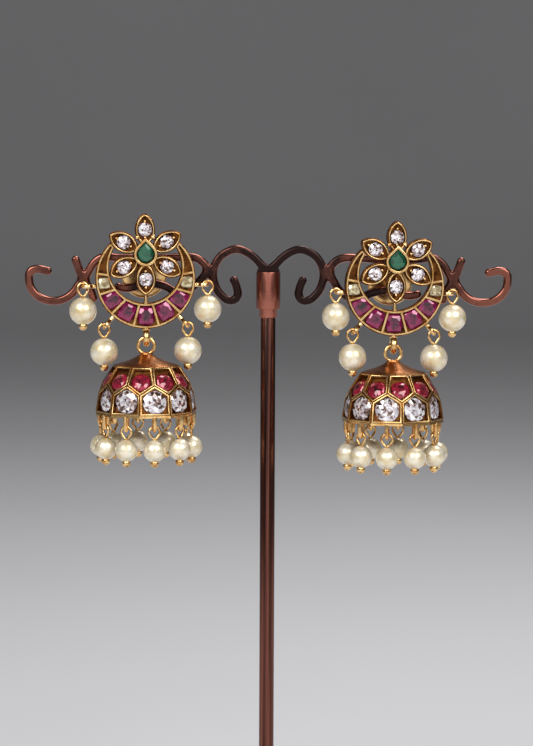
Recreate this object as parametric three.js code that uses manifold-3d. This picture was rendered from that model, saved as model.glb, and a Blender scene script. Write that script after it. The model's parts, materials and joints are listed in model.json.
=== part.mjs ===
// A pair of jhumka earrings hooked over the scroll arm of a small display stand.
// Each earring is a stud, a gold crescent of rubies with a six-petalled flower soldered in front
// of its opening, and a ten-sided bell that swings from a loop under the crescent.
// Millimetres, +Z up. The earrings face -Y. The origin is the middle of the foot's underside.
import * as THREE from "three";
import { mergeVertices } from "three/addons/utils/BufferGeometryUtils.js";
import Module from "manifold-3d";

const wasm = await Module();
wasm.setup();

// Stand
const FOOT_DIAMETER = 60;
const FOOT_EDGE = 3; // height of the foot's upright edge
const FOOT_RISE = 3.2; // from the edge up to the boss that takes the pole
const BOSS_DIAMETER = 8;
const BOSS_HEIGHT = 3;
const SOCKET_DEPTH = 6; // how deep the pole stands in the foot
const POLE_DIAMETER = 2.7;
const ARM_HEIGHT = 128; // top of the collar above the table
const COLLAR_DIAMETER = 4.4;
const COLLAR_LENGTH = 6.7;
const NECK_DIAMETER = 3.7; // plain ring under the collar
const NECK_LENGTH = 1.6;
const SPIGOT_LENGTH = 3; // the arm's pin in the collar
const ARM_ROD = 1.65; // thickness of the scrolls
const ARM_SPAN = 88.4; // from tip to tip of the scrolls
const FIT = 0.3; // clearance of a piece that is turned, drilled or stands in another

// Stud
const CRESCENT_RADIUS = 9;
const CRESCENT_WIDTH = 4.6; // at its lowest point
const HORN_WIDTH = 1.12; // at the horn tips
const HORN_ANGLE = 137; // horn tips, in degrees from straight down
const CRESCENT_FRONT = 1; // how far the crescent's rims stand in front of its middle plane
const CRESCENT_BACK = 0.8;
const CELL_DEPTH = 0.75;
const RIM_WALL = 0.36;
const HORN_WALL_ANGLE = 4; // metal at a horn's tip, in degrees
const BAR_WALL = 0.5;
const FLOWER_RISE = 4.4; // centre of the flower above the crescent's centre
const PETAL_COUNT = 6;
const PETAL_ROOT = 1.55; // nearest point of a petal to the flower's centre
const PETAL_TIP = 7.35;
const PETAL_WIDTH = 3.65;
const PETAL_WALL = 0.32;
const PETAL_FRONT = 2.4;
const PETAL_BACK = 0.6;
const PETAL_BOWL = 1.2; // depth of the bowl that the white stone sits in
const PETAL_STONE_DIAMETER = 2.4;
const BEZEL_WIDTH = 4.3;
const BEZEL_HEIGHT = 5.2;
const BEZEL_WALL = 0.4;
const BEZEL_RISE = 0.5; // centre of the bezel above the flower's centre
const BEZEL_FRONT = 3.4;
const BEZEL_CUP = 1.1;
const EMERALD_PROUD = 0.25;
const EMERALD_GIRDLE = 0.15;
const EMERALD_FACET = 0.6; // width of the sloping facets round its table
const STAY_WIDTH = 0.75; // short stay between the lowest petal and the crescent
const RUBY_DIAMETER = 2.9;
const PALE_STONE_DIAMETER = 2;
const POST_DIAMETER = 0.9;
const POST_LENGTH = 9.6;
const POST_RISE = 0.3; // post above the crescent's centre
const CLUTCH_DIAMETER = 8.2;
const CLUTCH_PLATE = 0.5;
const CLUTCH_BARREL_DIAMETER = 3.2;
const CLUTCH_BARREL_LENGTH = 2.4;

// Loops, wires and pearls
const PEG_WIRE = 0.72;
const PEG_LOOP = 0.82; // half the width of the small loop at a peg's end
const PIN_WIRE = 0.44;
const EYE_WIDTH = 2.4;
const STUD_EYE_HEIGHT = 2.9;
const BELL_EYE_HEIGHT = 2.65;
const STUD_PEARL_DIAMETER = 5;
const BELL_PEARL_DIAMETER = 4;
const PIN_BALL_DIAMETER = 1.55;
const PIN_BALL_SHOWS = 0.25; // middle of the pin's ball below the pearl's foot
const LINK_GAP = 0.06; // slack between one hooked wire and the next

// Bell
const BELL_SIDES = 10;
const BELL_RADIUS = 9.2; // to a corner of its rim
const BELL_HEIGHT = 8.8; // rim to the edge of the roof
const SHOULDER_RADIUS = 5.8;
const LOWER_SLOPE = 0.16; // how much the lower row leans in, for each mm of height
const UPPER_SLOPE = 0.675;
const BELL_WALL = 1.1;
const ROOF_RISE = 2;
const NECK_WIDTH = 2.3;
const RIM_BAND = 0.4; // plain edge under the lower cells
const BELL_BAR = 0.7;
const WHITE_STONE_RISE = 0.47; // a white stone's middle up its cell
const ROOF_BEND = 0.7; // where the roof turns up into the neck, as a share of its rise
const NECK_FLARE = 1.7; // the roof's width at that bend, against the neck's
const BELL_CELL_DEPTH = 0.45;
const WHITE_STONE_DIAMETER = 4.1;
const UPPER_RUBY_DIAMETER = 3.3;
const BELL_RING_DIAMETER = 3.6;
const BELL_RING_WIRE = 0.65;
const STUD_LOOP_DIAMETER = 3.3;
const STUD_LOOP_WIRE = 1.2;
const FRINGE_LOOP_DROP = 2.25; // rim down to the centre of the loop's lowest wire
const FRINGE_LOOP_WIDTH = 1.5;
const FRINGE_LOOP_WIRE = 0.55;

// Where and how each earring hangs: the crescent's centre as a share of half the arm's span and
// below the collar's top, the turn of its face towards +X, its lean to the right, the length of
// its pegs, and the turn of the bell's cells.
const EARRINGS = [
  {
    side: "left", share: -0.5, below: 1.1, turn: 5, lean: -0.9,
    upperReach: 2.3, lowerReach: 2.5, bellTurn: -10,
  },
  {
    side: "right", share: 0.5136, below: 2.25, turn: 6.5, lean: 0.8,
    upperReach: 1.7, lowerReach: 2.3, bellTurn: 2,
  },
];
const HANG_FORWARD = 4; // crescent's middle plane in front of the arm

const TABLE_SHARE = 0.6; // a stone's table against its girdle
const GIRDLE_RISE = 0.55; // a girdle's height above the setting's floor, as a share of its depth
const JOIN = 0.05; // how far a piece runs into the metal that it is joined to

// Smoothness
const WIRE_SIDES = 5;
const LINK_STEPS = 10; // even, so that one falls on the lowest point
const PEARL_SIDES = 10;
const PEARL_BANDS = 4; // from a pearl's foot to its top
const BALL_BANDS = 3;
const STAND_SIDES = 16;
const POLE_SIDES = 10;
const FLAT = 0.002; // triangles that lie in one plane to within this are merged after a join
const STONE_SIDES = 8;

const DEGREE = Math.PI / 180;
const ANTIQUE_GOLD = finish(0xc89a4b, 0.3, 1);
const RUBY_GOLD = finish(0xb98d45, 0.3, 1);
const PEARL = finish(0xf0e6cc, 0.25, 0);
const EMERALD = finish(0x1e7a4e, 0.1, 0);
const WHITE_STONE = finish(0xe9e4ea, 0.05, 0);
const ANTIQUE_COPPER = finish(0x7a4a3c, 0.35, 1);
const BRIGHT_COPPER = finish(0xb5704f, 0.35, 1);

function finish(color, roughness, metalness) {
  return new THREE.MeshStandardMaterial({ color, roughness, metalness });
}

// A three.js geometry as a solid that can be joined and cut.
function solid(geometry) {
  const bare = geometry.clone();
  bare.deleteAttribute("normal");
  bare.deleteAttribute("uv");
  const merged = mergeVertices(bare, 1e-4);
  const vertProperties = merged.attributes.position.array;
  const triVerts = new Uint32Array(merged.index.array);
  return new wasm.Manifold(new wasm.Mesh({ numProp: 3, vertProperties, triVerts }));
}

function joined(geometries) {
  return geometries.map(solid).reduce((sum, next) => sum.add(next));
}

function cut(body, geometries) {
  return geometries.map(solid).reduce((left, next) => left.subtract(next), body);
}

function geometryOf(body) {
  const { numProp, vertProperties, triVerts } = body.asOriginal().simplify(FLAT).getMesh();
  const positions = new Float32Array((vertProperties.length / numProp) * 3);
  for (let i = 0; i * numProp < vertProperties.length; i++) {
    positions.set(vertProperties.subarray(i * numProp, i * numProp + 3), i * 3);
  }
  const geometry = new THREE.BufferGeometry();
  geometry.setAttribute("position", new THREE.BufferAttribute(positions, 3));
  geometry.setIndex(new THREE.BufferAttribute(new Uint32Array(triVerts), 1));
  const faceted = geometry.toNonIndexed();
  faceted.computeVertexNormals();
  return faceted;
}

function mesh(name, body, material) {
  const geometry = body.isBufferGeometry ? body : geometryOf(body);
  const made = new THREE.Mesh(geometry, material);
  made.name = name;
  return made;
}

// A profile of [radius, height] pairs turned about Z.
function turned(profile, sides) {
  const points = profile.map(([radius, height]) => new THREE.Vector2(radius, height));
  return new THREE.LatheGeometry(points, sides).rotateX(Math.PI / 2);
}

// An outline drawn as seen from the front, as a plate between two depths in front of y = 0.
function plate(shape, back, front) {
  const depth = front - back;
  const slab = new THREE.ExtrudeGeometry(shape, { depth, bevelEnabled: false });
  return slab.rotateX(Math.PI / 2).translate(0, -back, 0);
}

// A wire or rod with flat ends along a smooth line through the points.
function rod(points, diameter, steps) {
  const section = new THREE.Shape();
  for (let i = 0; i < WIRE_SIDES; i++) {
    const angle = (2 * Math.PI * i) / WIRE_SIDES;
    const x = (Math.cos(angle) * diameter) / 2;
    const y = (Math.sin(angle) * diameter) / 2;
    if (i) section.lineTo(x, y);
    else section.moveTo(x, y);
  }
  const extrudePath = new THREE.CatmullRomCurve3(points.map((p) => new THREE.Vector3(...p)));
  return new THREE.ExtrudeGeometry(section, { steps, bevelEnabled: false, extrudePath });
}

// A round wire ring in the XY plane.
function ring(outerDiameter, wire, steps) {
  return new THREE.TorusGeometry((outerDiameter - wire) / 2, wire / 2, WIRE_SIDES, steps);
}

// A cut stone with its table towards +Z and its girdle at z = 0. The pavilion ends in a point,
// or in a flat when the stone is set down into metal.
function cutStone(diameter, crown, pavilion, flat = false) {
  const girdle = diameter / 2;
  const table = girdle * TABLE_SHARE;
  const foot = flat ? [[0, -pavilion], [girdle, -pavilion]] : [[0, -pavilion], [girdle, 0]];
  return turned([...foot, [table, crown], [0, crown]], STONE_SIDES);
}

// The opening is a circle that leaves both widths of the crescent; its centre is above the
// crescent's own.
const footReach = CRESCENT_RADIUS - CRESCENT_WIDTH;
const hornReach = CRESCENT_RADIUS - HORN_WIDTH;
const hornCosine = Math.cos(HORN_ANGLE * DEGREE);
const openingRise = (hornReach ** 2 - footReach ** 2) / (2 * (footReach - hornReach * hornCosine));
const openingRadius = footReach + openingRise;

// From the crescent's centre to the edge of its opening, at an angle from straight down.
function openingReach(angle) {
  const across = openingRise * Math.sin(angle);
  return Math.sqrt(openingRadius ** 2 - across ** 2) - openingRise * Math.cos(angle);
}

// The part of the crescent between two angles from straight down, drawn in by an inset.
function crescentShape(from, to, inset, steps) {
  const points = [];
  const at = (angle, radius) =>
    new THREE.Vector2(Math.sin(angle) * radius, -Math.cos(angle) * radius);
  for (let i = 0; i <= steps; i++) {
    points.push(at((from + ((to - from) * i) / steps) * DEGREE, CRESCENT_RADIUS - inset));
  }
  for (let i = steps; i >= 0; i--) {
    const angle = (from + ((to - from) * i) / steps) * DEGREE;
    points.push(at(angle, openingReach(angle) + inset));
  }
  return new THREE.Shape(points);
}

// Cells of the right half and the middle: where each begins and ends, in degrees from straight
// down, and the stone that is set in it.
const CRESCENT_CELLS = [
  { from: -15, to: 15, stone: RUBY_DIAMETER },
  { from: 15, to: 45, stone: RUBY_DIAMETER },
  { from: 45, to: 72, stone: RUBY_DIAMETER },
  { from: 72, to: 97, stone: PALE_STONE_DIAMETER },
  { from: 97, to: HORN_ANGLE - HORN_WALL_ANGLE, stone: 0 },
];

function crescentCells() {
  const mirrored = CRESCENT_CELLS.slice(1).map(({ from, to, stone }) => ({
    from: -to,
    to: -from,
    stone,
  }));
  return [...CRESCENT_CELLS, ...mirrored];
}

function crescent() {
  const outline = crescentShape(-HORN_ANGLE, HORN_ANGLE, 0, 16);
  const floor = CRESCENT_FRONT - CELL_DEPTH;
  const pockets = [];
  const stones = [];
  for (const { from, to, stone } of crescentCells()) {
    const bar = BAR_WALL / 2 / CRESCENT_RADIUS / DEGREE;
    const cell = crescentShape(from + bar, to - bar, RIM_WALL, 2);
    pockets.push(plate(cell, floor, CRESCENT_FRONT + 1));
    if (!stone) continue;
    const angle = ((from + to) / 2) * DEGREE;
    const middle = (CRESCENT_RADIUS + openingReach(angle)) / 2;
    const width = Math.min(stone, CRESCENT_RADIUS - openingReach(angle) - 2 * RIM_WALL);
    const girdle = CELL_DEPTH * GIRDLE_RISE;
    stones.push(
      cutStone(width, CELL_DEPTH - girdle, girdle + JOIN, true)
        .rotateX(Math.PI / 2)
        .rotateY(-angle)
        .translate(Math.sin(angle) * middle, -floor - girdle, -Math.cos(angle) * middle),
    );
  }
  const tray = cut(solid(plate(outline, -CRESCENT_BACK, CRESCENT_FRONT)), pockets);
  return tray.add(joined(stones));
}

// A pointed oval along X about its middle, drawn in by an inset.
function marquiseShape(length, width, inset, steps) {
  const arc = (length ** 2 + width ** 2) / (4 * width);
  const centre = arc - width / 2;
  const half = Math.acos(centre / (arc - inset));
  const points = [];
  for (const sign of [1, -1]) {
    for (let i = 0; i < steps; i++) {
      const angle = half - (2 * half * i) / steps;
      const reach = arc - inset;
      points.push(
        new THREE.Vector2(sign * Math.sin(-angle) * reach, sign * (Math.cos(angle) * reach - centre)),
      );
    }
  }
  return new THREE.Shape(points);
}

// The bezel's outline, a drop with its point up centred on its own height, drawn in by an inset.
// The point draws in a little more than the round end.
function dropShape(inset) {
  const steps = 7;
  const radius = BEZEL_WIDTH / 2 - inset;
  const height = BEZEL_HEIGHT - 2.4 * inset;
  const rise = height / 2 - radius;
  const shoulder = Math.asin(radius / (height - radius));
  const points = [new THREE.Vector2(0, height / 2)];
  for (let i = 0; i <= steps; i++) {
    const angle = Math.PI - shoulder + ((Math.PI + 2 * shoulder) * i) / steps;
    points.push(new THREE.Vector2(Math.cos(angle) * radius, Math.sin(angle) * radius - rise));
  }
  return new THREE.Shape(points);
}

const petalLength = PETAL_TIP - PETAL_ROOT;
const petalMiddle = (PETAL_TIP + PETAL_ROOT) / 2;

// Moves a thing drawn round the petal's middle to petal number i, the first straight up.
function toPetal(geometry, i) {
  const angle = Math.PI / 2 + (2 * Math.PI * i) / PETAL_COUNT;
  return geometry.translate(petalMiddle, 0, 0).rotateY(-angle).translate(0, 0, FLOWER_RISE);
}

function petals() {
  const outer = marquiseShape(petalLength, PETAL_WIDTH, 0, 4);
  const bowl = marquiseShape(petalLength, PETAL_WIDTH, PETAL_WALL, 4);
  const numbers = [...Array(PETAL_COUNT).keys()];
  const backs = numbers.map((i) => toPetal(plate(outer, PETAL_BACK, PETAL_FRONT), i));
  const bowls = numbers.map((i) =>
    toPetal(plate(bowl, PETAL_FRONT - PETAL_BOWL, PETAL_FRONT + 1), i),
  );
  return cut(joined(backs), bowls);
}

function bezel() {
  const outer = dropShape(0);
  const inner = dropShape(BEZEL_WALL);
  const up = FLOWER_RISE + BEZEL_RISE;
  const wall = plate(outer, PETAL_BACK, BEZEL_FRONT).translate(0, 0, up);
  const cup = plate(inner, BEZEL_FRONT - BEZEL_CUP, BEZEL_FRONT + 1).translate(0, 0, up);
  return cut(solid(wall), [cup]);
}

function emerald() {
  const deep = BEZEL_CUP + EMERALD_PROUD - FIT;
  const facet = (deep - EMERALD_GIRDLE) / 2;
  const stone = new THREE.ExtrudeGeometry(dropShape(BEZEL_WALL + FIT / 2), {
    depth: EMERALD_GIRDLE,
    bevelThickness: facet,
    bevelSize: EMERALD_FACET,
    bevelOffset: -EMERALD_FACET,
    bevelSegments: 1,
  });
  const back = BEZEL_FRONT + EMERALD_PROUD - facet - EMERALD_GIRDLE;
  return stone.rotateX(Math.PI / 2).translate(0, -back, FLOWER_RISE + BEZEL_RISE);
}

function petalStone(i) {
  const girdle = PETAL_BOWL * GIRDLE_RISE;
  const stone = cutStone(PETAL_STONE_DIAMETER, PETAL_BOWL - girdle - FIT / 2, girdle - FIT / 2);
  return toPetal(stone.rotateX(Math.PI / 2).translate(0, PETAL_BOWL - PETAL_FRONT - girdle, 0), i);
}

// A peg on the crescent's edge: a wire bent back on itself, closed at the crescent and opened
// into a small flat loop at its end.
function peg({ at, down, reach }, mirror) {
  const half = [
    [-RIM_WALL, PEG_WIRE / 6], [reach - PEG_LOOP * 2, PEG_WIRE / 4],
    [reach - PEG_LOOP, PEG_LOOP],
  ];
  const points = [
    ...half.map(([out, side]) => [out, side, 0]),
    [reach, 0, 0],
    ...half.toReversed().map(([out, side]) => [out, -side, 0]),
  ];
  const x = Math.sin(at * DEGREE) * CRESCENT_RADIUS;
  const z = -Math.cos(at * DEGREE) * CRESCENT_RADIUS;
  const turn = mirror > 0 ? down : 180 - down;
  return rod(points, PEG_WIRE, 8).rotateY(turn * DEGREE).translate(mirror * x, 0, z);
}

// The middle of a peg's outermost wire, which a pearl's eye hooks over.
function pegHook({ at, down, reach }, mirror) {
  const x = Math.sin(at * DEGREE) * CRESCENT_RADIUS + Math.cos(down * DEGREE) * reach;
  const z = -Math.cos(at * DEGREE) * CRESCENT_RADIUS - Math.sin(down * DEGREE) * reach;
  return new THREE.Vector3(mirror * x, 0, z);
}

function pegsOf(earring) {
  return [
    { at: 82, down: 0, reach: earring.upperReach },
    { at: 41, down: 49, reach: earring.lowerReach },
  ];
}

const loopCentre = -CRESCENT_RADIUS - STUD_LOOP_DIAMETER / 2;

function studFrame(earring) {
  const stayTop = FLOWER_RISE - PETAL_TIP + PETAL_WALL * 2;
  const stayFoot = -footReach - RIM_WALL / 2;
  const stay = new THREE.BoxGeometry(STAY_WIDTH, CRESCENT_FRONT, stayTop - stayFoot);
  stay.translate(0, -CRESCENT_FRONT / 2, (stayTop + stayFoot) / 2);
  const post = new THREE.CylinderGeometry(POST_DIAMETER / 2, POST_DIAMETER / 2, POST_LENGTH, 6);
  post.translate(0, POST_LENGTH / 2 - PETAL_BACK - PETAL_WALL, POST_RISE);
  const loop = ring(STUD_LOOP_DIAMETER, STUD_LOOP_WIRE, 12)
    .rotateY(Math.PI / 2)
    .translate(0, 0, loopCentre);
  const root = new THREE.BoxGeometry(STUD_LOOP_WIRE, STUD_LOOP_WIRE, STUD_LOOP_WIRE)
    .translate(0, 0, -CRESCENT_RADIUS);
  const pegs = pegsOf(earring).flatMap((one) => [peg(one, 1), peg(one, -1)]);
  return joined([stay, post, loop, root, ...pegs]).add(crescent()).add(petals()).add(bezel());
}

function clutch() {
  const hole = POST_DIAMETER / 2 + FIT;
  const plateRadius = CLUTCH_DIAMETER / 2;
  const barrel = CLUTCH_BARREL_DIAMETER / 2;
  const back = CLUTCH_PLATE + CLUTCH_BARREL_LENGTH;
  const profile = [
    [hole, 0], [plateRadius, 0], [plateRadius, CLUTCH_PLATE], [barrel, CLUTCH_PLATE],
    [barrel, back], [hole, back],
    [hole, 0],
  ];
  const front = HANG_FORWARD + ARM_ROD / 2 + 2 * FIT;
  return turned(profile, PEARL_SIDES).rotateX(-Math.PI / 2).translate(0, front, POST_RISE);
}

// The closed eye at the top of a pin, a drop shape with its round end up round the hook's wire.
// Shares of the eye's half width and of its height from the top.
const EYE_SHAPE = [
  [0, 0], [0.74, 0.13], [1, 0.42], [0.62, 0.76], [0.16, 0.97],
];

function eye(hookWire, height) {
  const top = hookWire / 2 + LINK_GAP + PIN_WIRE / 2;
  const half = (EYE_WIDTH - PIN_WIRE) / 2;
  const tall = height - PIN_WIRE;
  const right = EYE_SHAPE.map(([x, z]) => new THREE.Vector3(x * half, 0, top - z * tall));
  const left = right.slice(1).toReversed().map((p) => new THREE.Vector3(-p.x, 0, p.z));
  const line = new THREE.CatmullRomCurve3([...right, ...left], true);
  return new THREE.TubeGeometry(line, LINK_STEPS, PIN_WIRE / 2, WIRE_SIDES, true);
}

// Radius and height down a ball, from its foot to its top.
function ballProfile(diameter, bands, middle) {
  return [...Array(bands + 1).keys()].map((i) => {
    const angle = (Math.PI * i) / bands;
    return [(Math.sin(angle) * diameter) / 2, middle - (Math.cos(angle) * diameter) / 2];
  });
}

// A pearl on its pin, hung by the pin's eye from a hook's wire at z = 0. The pin's ball end is
// drawn up into the mouth of the pearl's hole.
function pearlDrop(hookWire, eyeHeight, diameter) {
  const eyeFoot = hookWire / 2 + LINK_GAP + PIN_WIRE - eyeHeight;
  const pearlTop = eyeFoot + PIN_WIRE / 3;
  const ball = pearlTop - diameter - PIN_BALL_SHOWS;
  const ballRows = ballProfile(PIN_BALL_DIAMETER, BALL_BANDS, ball).slice(0, BALL_BANDS);
  const pearlRows = ballProfile(diameter, PEARL_BANDS, pearlTop - diameter / 2).slice(1);
  return joined([
    eye(hookWire, eyeHeight),
    turned([...ballRows, ...pearlRows], PEARL_SIDES),
  ]);
}

// Moves a thing that faces +Z, with its own top at +Y, to a place on the bell's side.
function toBell(geometry, radius, height, tilt, azimuth) {
  return geometry
    .rotateX(Math.PI / 2 - tilt)
    .translate(0, -radius, height)
    .rotateZ(azimuth * DEGREE);
}

const sideAngle = 360 / BELL_SIDES;
const halfSide = (sideAngle / 2) * DEGREE;
const lowerTilt = Math.atan(LOWER_SLOPE * Math.cos(halfSide));
const upperTilt = Math.atan(UPPER_SLOPE * Math.cos(halfSide));
const lowerRadius = (height) => BELL_RADIUS - LOWER_SLOPE * height;
const upperRadius = (height) => SHOULDER_RADIUS + UPPER_SLOPE * (BELL_HEIGHT - height);
// The two rows meet in a zigzag: high over the middle of a lower cell, low at its corners.
const flat = Math.cos(halfSide);
const shoulderReach = SHOULDER_RADIUS + UPPER_SLOPE * BELL_HEIGHT;
const zigzagHigh = (shoulderReach - BELL_RADIUS * flat) / (UPPER_SLOPE - LOWER_SLOPE * flat);
const zigzagLow = (shoulderReach * flat - BELL_RADIUS) / (UPPER_SLOPE * flat - LOWER_SLOPE);
// From straight up, the direction of the zigzag beside a cell's point.
const pointAngle = Math.atan2(BELL_RADIUS * Math.sin(halfSide), zigzagHigh - zigzagLow);

// Rows of [height, half width] from the top of a cell down, as a closed outline round a height.
function cellShape(rows, middle, tilt) {
  const right = rows.map(([height, half]) =>
    new THREE.Vector2(half, (height - middle) / Math.cos(tilt)));
  const left = rows.filter(([, half]) => half > 0).toReversed().map(([height, half]) =>
    new THREE.Vector2(-half, (height - middle) / Math.cos(tilt)));
  return new THREE.Shape([...right, ...left]);
}

function pocket(shape) {
  return new THREE.ExtrudeGeometry(shape, { depth: BELL_CELL_DEPTH + 1, bevelEnabled: false })
    .translate(0, 0, -BELL_CELL_DEPTH);
}

function bellCells() {
  const halfBar = BELL_BAR / 2;
  const lowerHalf = (height) => lowerRadius(height) * Math.sin(halfSide) - halfBar;
  const upperHalf = (height) => upperRadius(height) * Math.sin(halfSide) - halfBar;
  const lowerMiddle = zigzagHigh * WHITE_STONE_RISE;
  const pointInset = halfBar / Math.sin(pointAngle); // up the cell, at its point
  const shoulderInset = halfBar * Math.tan(pointAngle / 2);
  const upperMiddle = (BELL_HEIGHT + zigzagLow) / 2 + halfBar;
  const lowerRows = [
    [zigzagHigh - pointInset, 0],
    [zigzagLow - shoulderInset, lowerHalf(zigzagLow)],
    [RIM_BAND, lowerHalf(RIM_BAND)],
  ];
  const upperRows = [
    [BELL_HEIGHT - halfBar, upperHalf(BELL_HEIGHT)],
    [zigzagHigh + shoulderInset, upperHalf(zigzagHigh)],
    [zigzagLow + pointInset, 0],
  ];
  const pockets = [];
  const stones = [];
  const addCell = (shape, radius, height, tilt, azimuth, diameter) => {
    pockets.push(toBell(pocket(shape), radius, height, tilt, azimuth));
    const stone = cutStone(diameter, BELL_CELL_DEPTH, BELL_CELL_DEPTH, true);
    stone.translate(0, 0, -BELL_CELL_DEPTH / 3);
    stones.push(toBell(stone, radius, height, tilt, azimuth));
  };
  const lower = cellShape(lowerRows, lowerMiddle, lowerTilt);
  const upper = cellShape(upperRows, upperMiddle, upperTilt);
  for (let i = 0; i < BELL_SIDES; i++) {
    addCell(lower, lowerRadius(lowerMiddle) * flat, lowerMiddle, lowerTilt,
      (i + 0.5) * sideAngle, WHITE_STONE_DIAMETER);
    addCell(upper, upperRadius(upperMiddle) * flat, upperMiddle, upperTilt,
      i * sideAngle, UPPER_RUBY_DIAMETER);
  }
  return { pockets, stones };
}

// The bell stands on z = 0 at its rim here, with a corner of the lower row towards the front.
function bell() {
  const lowerBlock = turned(
    [[0, 0], [lowerRadius(0), 0], [lowerRadius(BELL_HEIGHT), BELL_HEIGHT], [0, BELL_HEIGHT]],
    BELL_SIDES,
  );
  const upperBlock = turned(
    [[0, 0], [upperRadius(0), 0], [SHOULDER_RADIUS, BELL_HEIGHT], [0, BELL_HEIGHT]],
    BELL_SIDES,
  ).rotateZ(halfSide);
  const neck = NECK_WIDTH / 2;
  const peak = BELL_HEIGHT + ROOF_RISE + BELL_RING_WIRE / 4;
  const roof = turned(
    [[0, BELL_HEIGHT - BELL_WALL], [SHOULDER_RADIUS * flat, BELL_HEIGHT - BELL_WALL],
      [SHOULDER_RADIUS * flat, BELL_HEIGHT], [neck * NECK_FLARE, BELL_HEIGHT + ROOF_RISE * ROOF_BEND],
      [neck, peak], [0, peak]],
    BELL_SIDES,
  );
  const inner = (radius) => radius - BELL_WALL;
  const hollow = turned(
    [[0, -1], [inner(lowerRadius(0)), -1], [inner(lowerRadius(0)), 0],
      [inner(lowerRadius(zigzagLow)), zigzagLow], [inner(SHOULDER_RADIUS), inner(BELL_HEIGHT)],
      [0, BELL_HEIGHT - BELL_WALL / 2]],
    BELL_SIDES,
  );
  const { pockets, stones } = bellCells();
  const shell = solid(lowerBlock).intersect(solid(upperBlock)).add(solid(roof));
  const hollowShell = cut(cut(shell, pockets).add(joined(stones)), [hollow]);
  return hollowShell.add(joined([bellRing(), ...fringeLoops()]));
}

const ringDrop = BELL_RING_DIAMETER - BELL_RING_WIRE; // pivot down to the ring's lowest wire
const rimDrop = ringDrop + ROOF_RISE + BELL_HEIGHT; // pivot down to the rim
const fringeRadius = (BELL_RADIUS - BELL_WALL / 2) * flat;

function bellRing() {
  return ring(BELL_RING_DIAMETER, BELL_RING_WIRE, 12)
    .rotateX(Math.PI / 2)
    .translate(0, 0, rimDrop - ringDrop / 2);
}

// A staple under the middle of each lower cell, in a plane through the bell's axis.
function fringeLoops() {
  const half = (FRINGE_LOOP_WIDTH - FRINGE_LOOP_WIRE) / 2;
  const foot = -FRINGE_LOOP_DROP;
  const leg = [[half, RIM_BAND / 2], [half, foot * 0.45], [half * 0.8, foot * 0.8], [half / 2, foot]];
  const points = [
    ...leg.map(([out, up]) => [0, out, up]),
    ...leg.toReversed().map(([out, up]) => [0, -out, up]),
  ];
  return [...Array(BELL_SIDES).keys()].map((i) =>
    rod(points, FRINGE_LOOP_WIRE, 5)
      .translate(0, -fringeRadius, 0)
      .rotateZ((i + 0.5) * sideAngle * DEGREE),
  );
}

// Foot, pole and collar
function foot() {
  const radius = FOOT_DIAMETER / 2;
  const boss = BOSS_DIAMETER / 2;
  const top = FOOT_EDGE + FOOT_RISE + BOSS_HEIGHT;
  const socket = POLE_DIAMETER / 2 + FIT;
  return turned(
    [[0, 0], [radius, 0], [radius, FOOT_EDGE], [boss, FOOT_EDGE + FOOT_RISE], [boss, top],
      [socket, top], [socket, top - SOCKET_DEPTH], [0, top - SOCKET_DEPTH]],
    STAND_SIDES,
  );
}

const poleFoot = FOOT_EDGE + FOOT_RISE + BOSS_HEIGHT - SOCKET_DEPTH;
const poleTop = ARM_HEIGHT - SPIGOT_LENGTH - 2 * FIT;

function pole() {
  const radius = POLE_DIAMETER / 2;
  return turned([[0, poleFoot], [radius, poleFoot], [radius, poleTop], [0, poleTop]], POLE_SIDES);
}

function collar() {
  const bore = POLE_DIAMETER / 2 + FIT;
  const outer = COLLAR_DIAMETER / 2;
  const neck = NECK_DIAMETER / 2;
  const foot = ARM_HEIGHT - COLLAR_LENGTH;
  return turned(
    [[bore, foot - NECK_LENGTH], [neck, foot - NECK_LENGTH], [neck, foot],
      [outer, foot], [outer, ARM_HEIGHT], [bore, ARM_HEIGHT], [bore, foot - NECK_LENGTH]],
    POLE_SIDES,
  );
}

// Scrolls of the right half, as [outwards, up] from the middle of the collar's top, and mirrored
// for the left: shares of half the span, chosen to follow the bends by eye.
const KNOT = [0.245, 0.002]; // where the arch, its curl, the upper bar and the cradle meet
const OUTER_KNOT = [0.758, -0.036];
const SCROLLS = [
  {
    steps: 12, // the arch and the curl that ends it
    shares: [[0.015, 0.019], [0.031, 0.031], [0.054, 0.055], [0.098, 0.084], [0.131, 0.092],
      [0.174, 0.078], [0.206, 0.05], [0.2265, -0.004], [0.222, -0.043], [0.199, -0.09],
      [0.15, -0.119], [0.127, -0.103], [0.129, -0.066], [0.141, -0.035]],
  },
  {
    steps: 14, // the upper bar and the hook at the arm's end
    shares: [KNOT, [0.268, 0.037], [0.3, 0.056], [0.37, 0.057], [0.486, 0.053],
      [0.608, 0.054], [0.69, 0.053], OUTER_KNOT, [0.778, -0.057], [0.804, -0.092],
      [0.844, -0.117], [0.886, -0.123], [0.935, -0.11], [0.97, -0.075], [0.981, -0.036],
      [0.977, -0.005], [0.957, 0.007], [0.904, 0]],
  },
  {
    steps: 3, // the spike across the outer knot
    shares: [[0.79, 0.046], [0.778, 0.012], OUTER_KNOT, [0.733, -0.069], [0.717, -0.112]],
  },
];
// The cradle bends up to the earring's post: [outwards, up] from the point under the post, in
// shares of the crescent's radius.
const CRADLE = [[0.92, -0.1], [0.63, -0.16], [0.41, -0.055], [0.16, 0], [-0.02, -0.002],
  [-0.17, -0.06], [-0.38, -0.1], [-0.53, -0.075]];

function hangX(earring) {
  return (earring.share * ARM_SPAN) / 2;
}

// The point of the cradle that carries an earring's post, as [outwards, up].
function cradleTop(earring) {
  const sink = POST_DIAMETER / 2 + LINK_GAP * 2 + ARM_ROD / 2;
  const out = Math.abs(hangX(earring) - HANG_FORWARD * Math.sin(earring.turn * DEGREE));
  return [out, POST_RISE - sink - earring.below];
}

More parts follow.
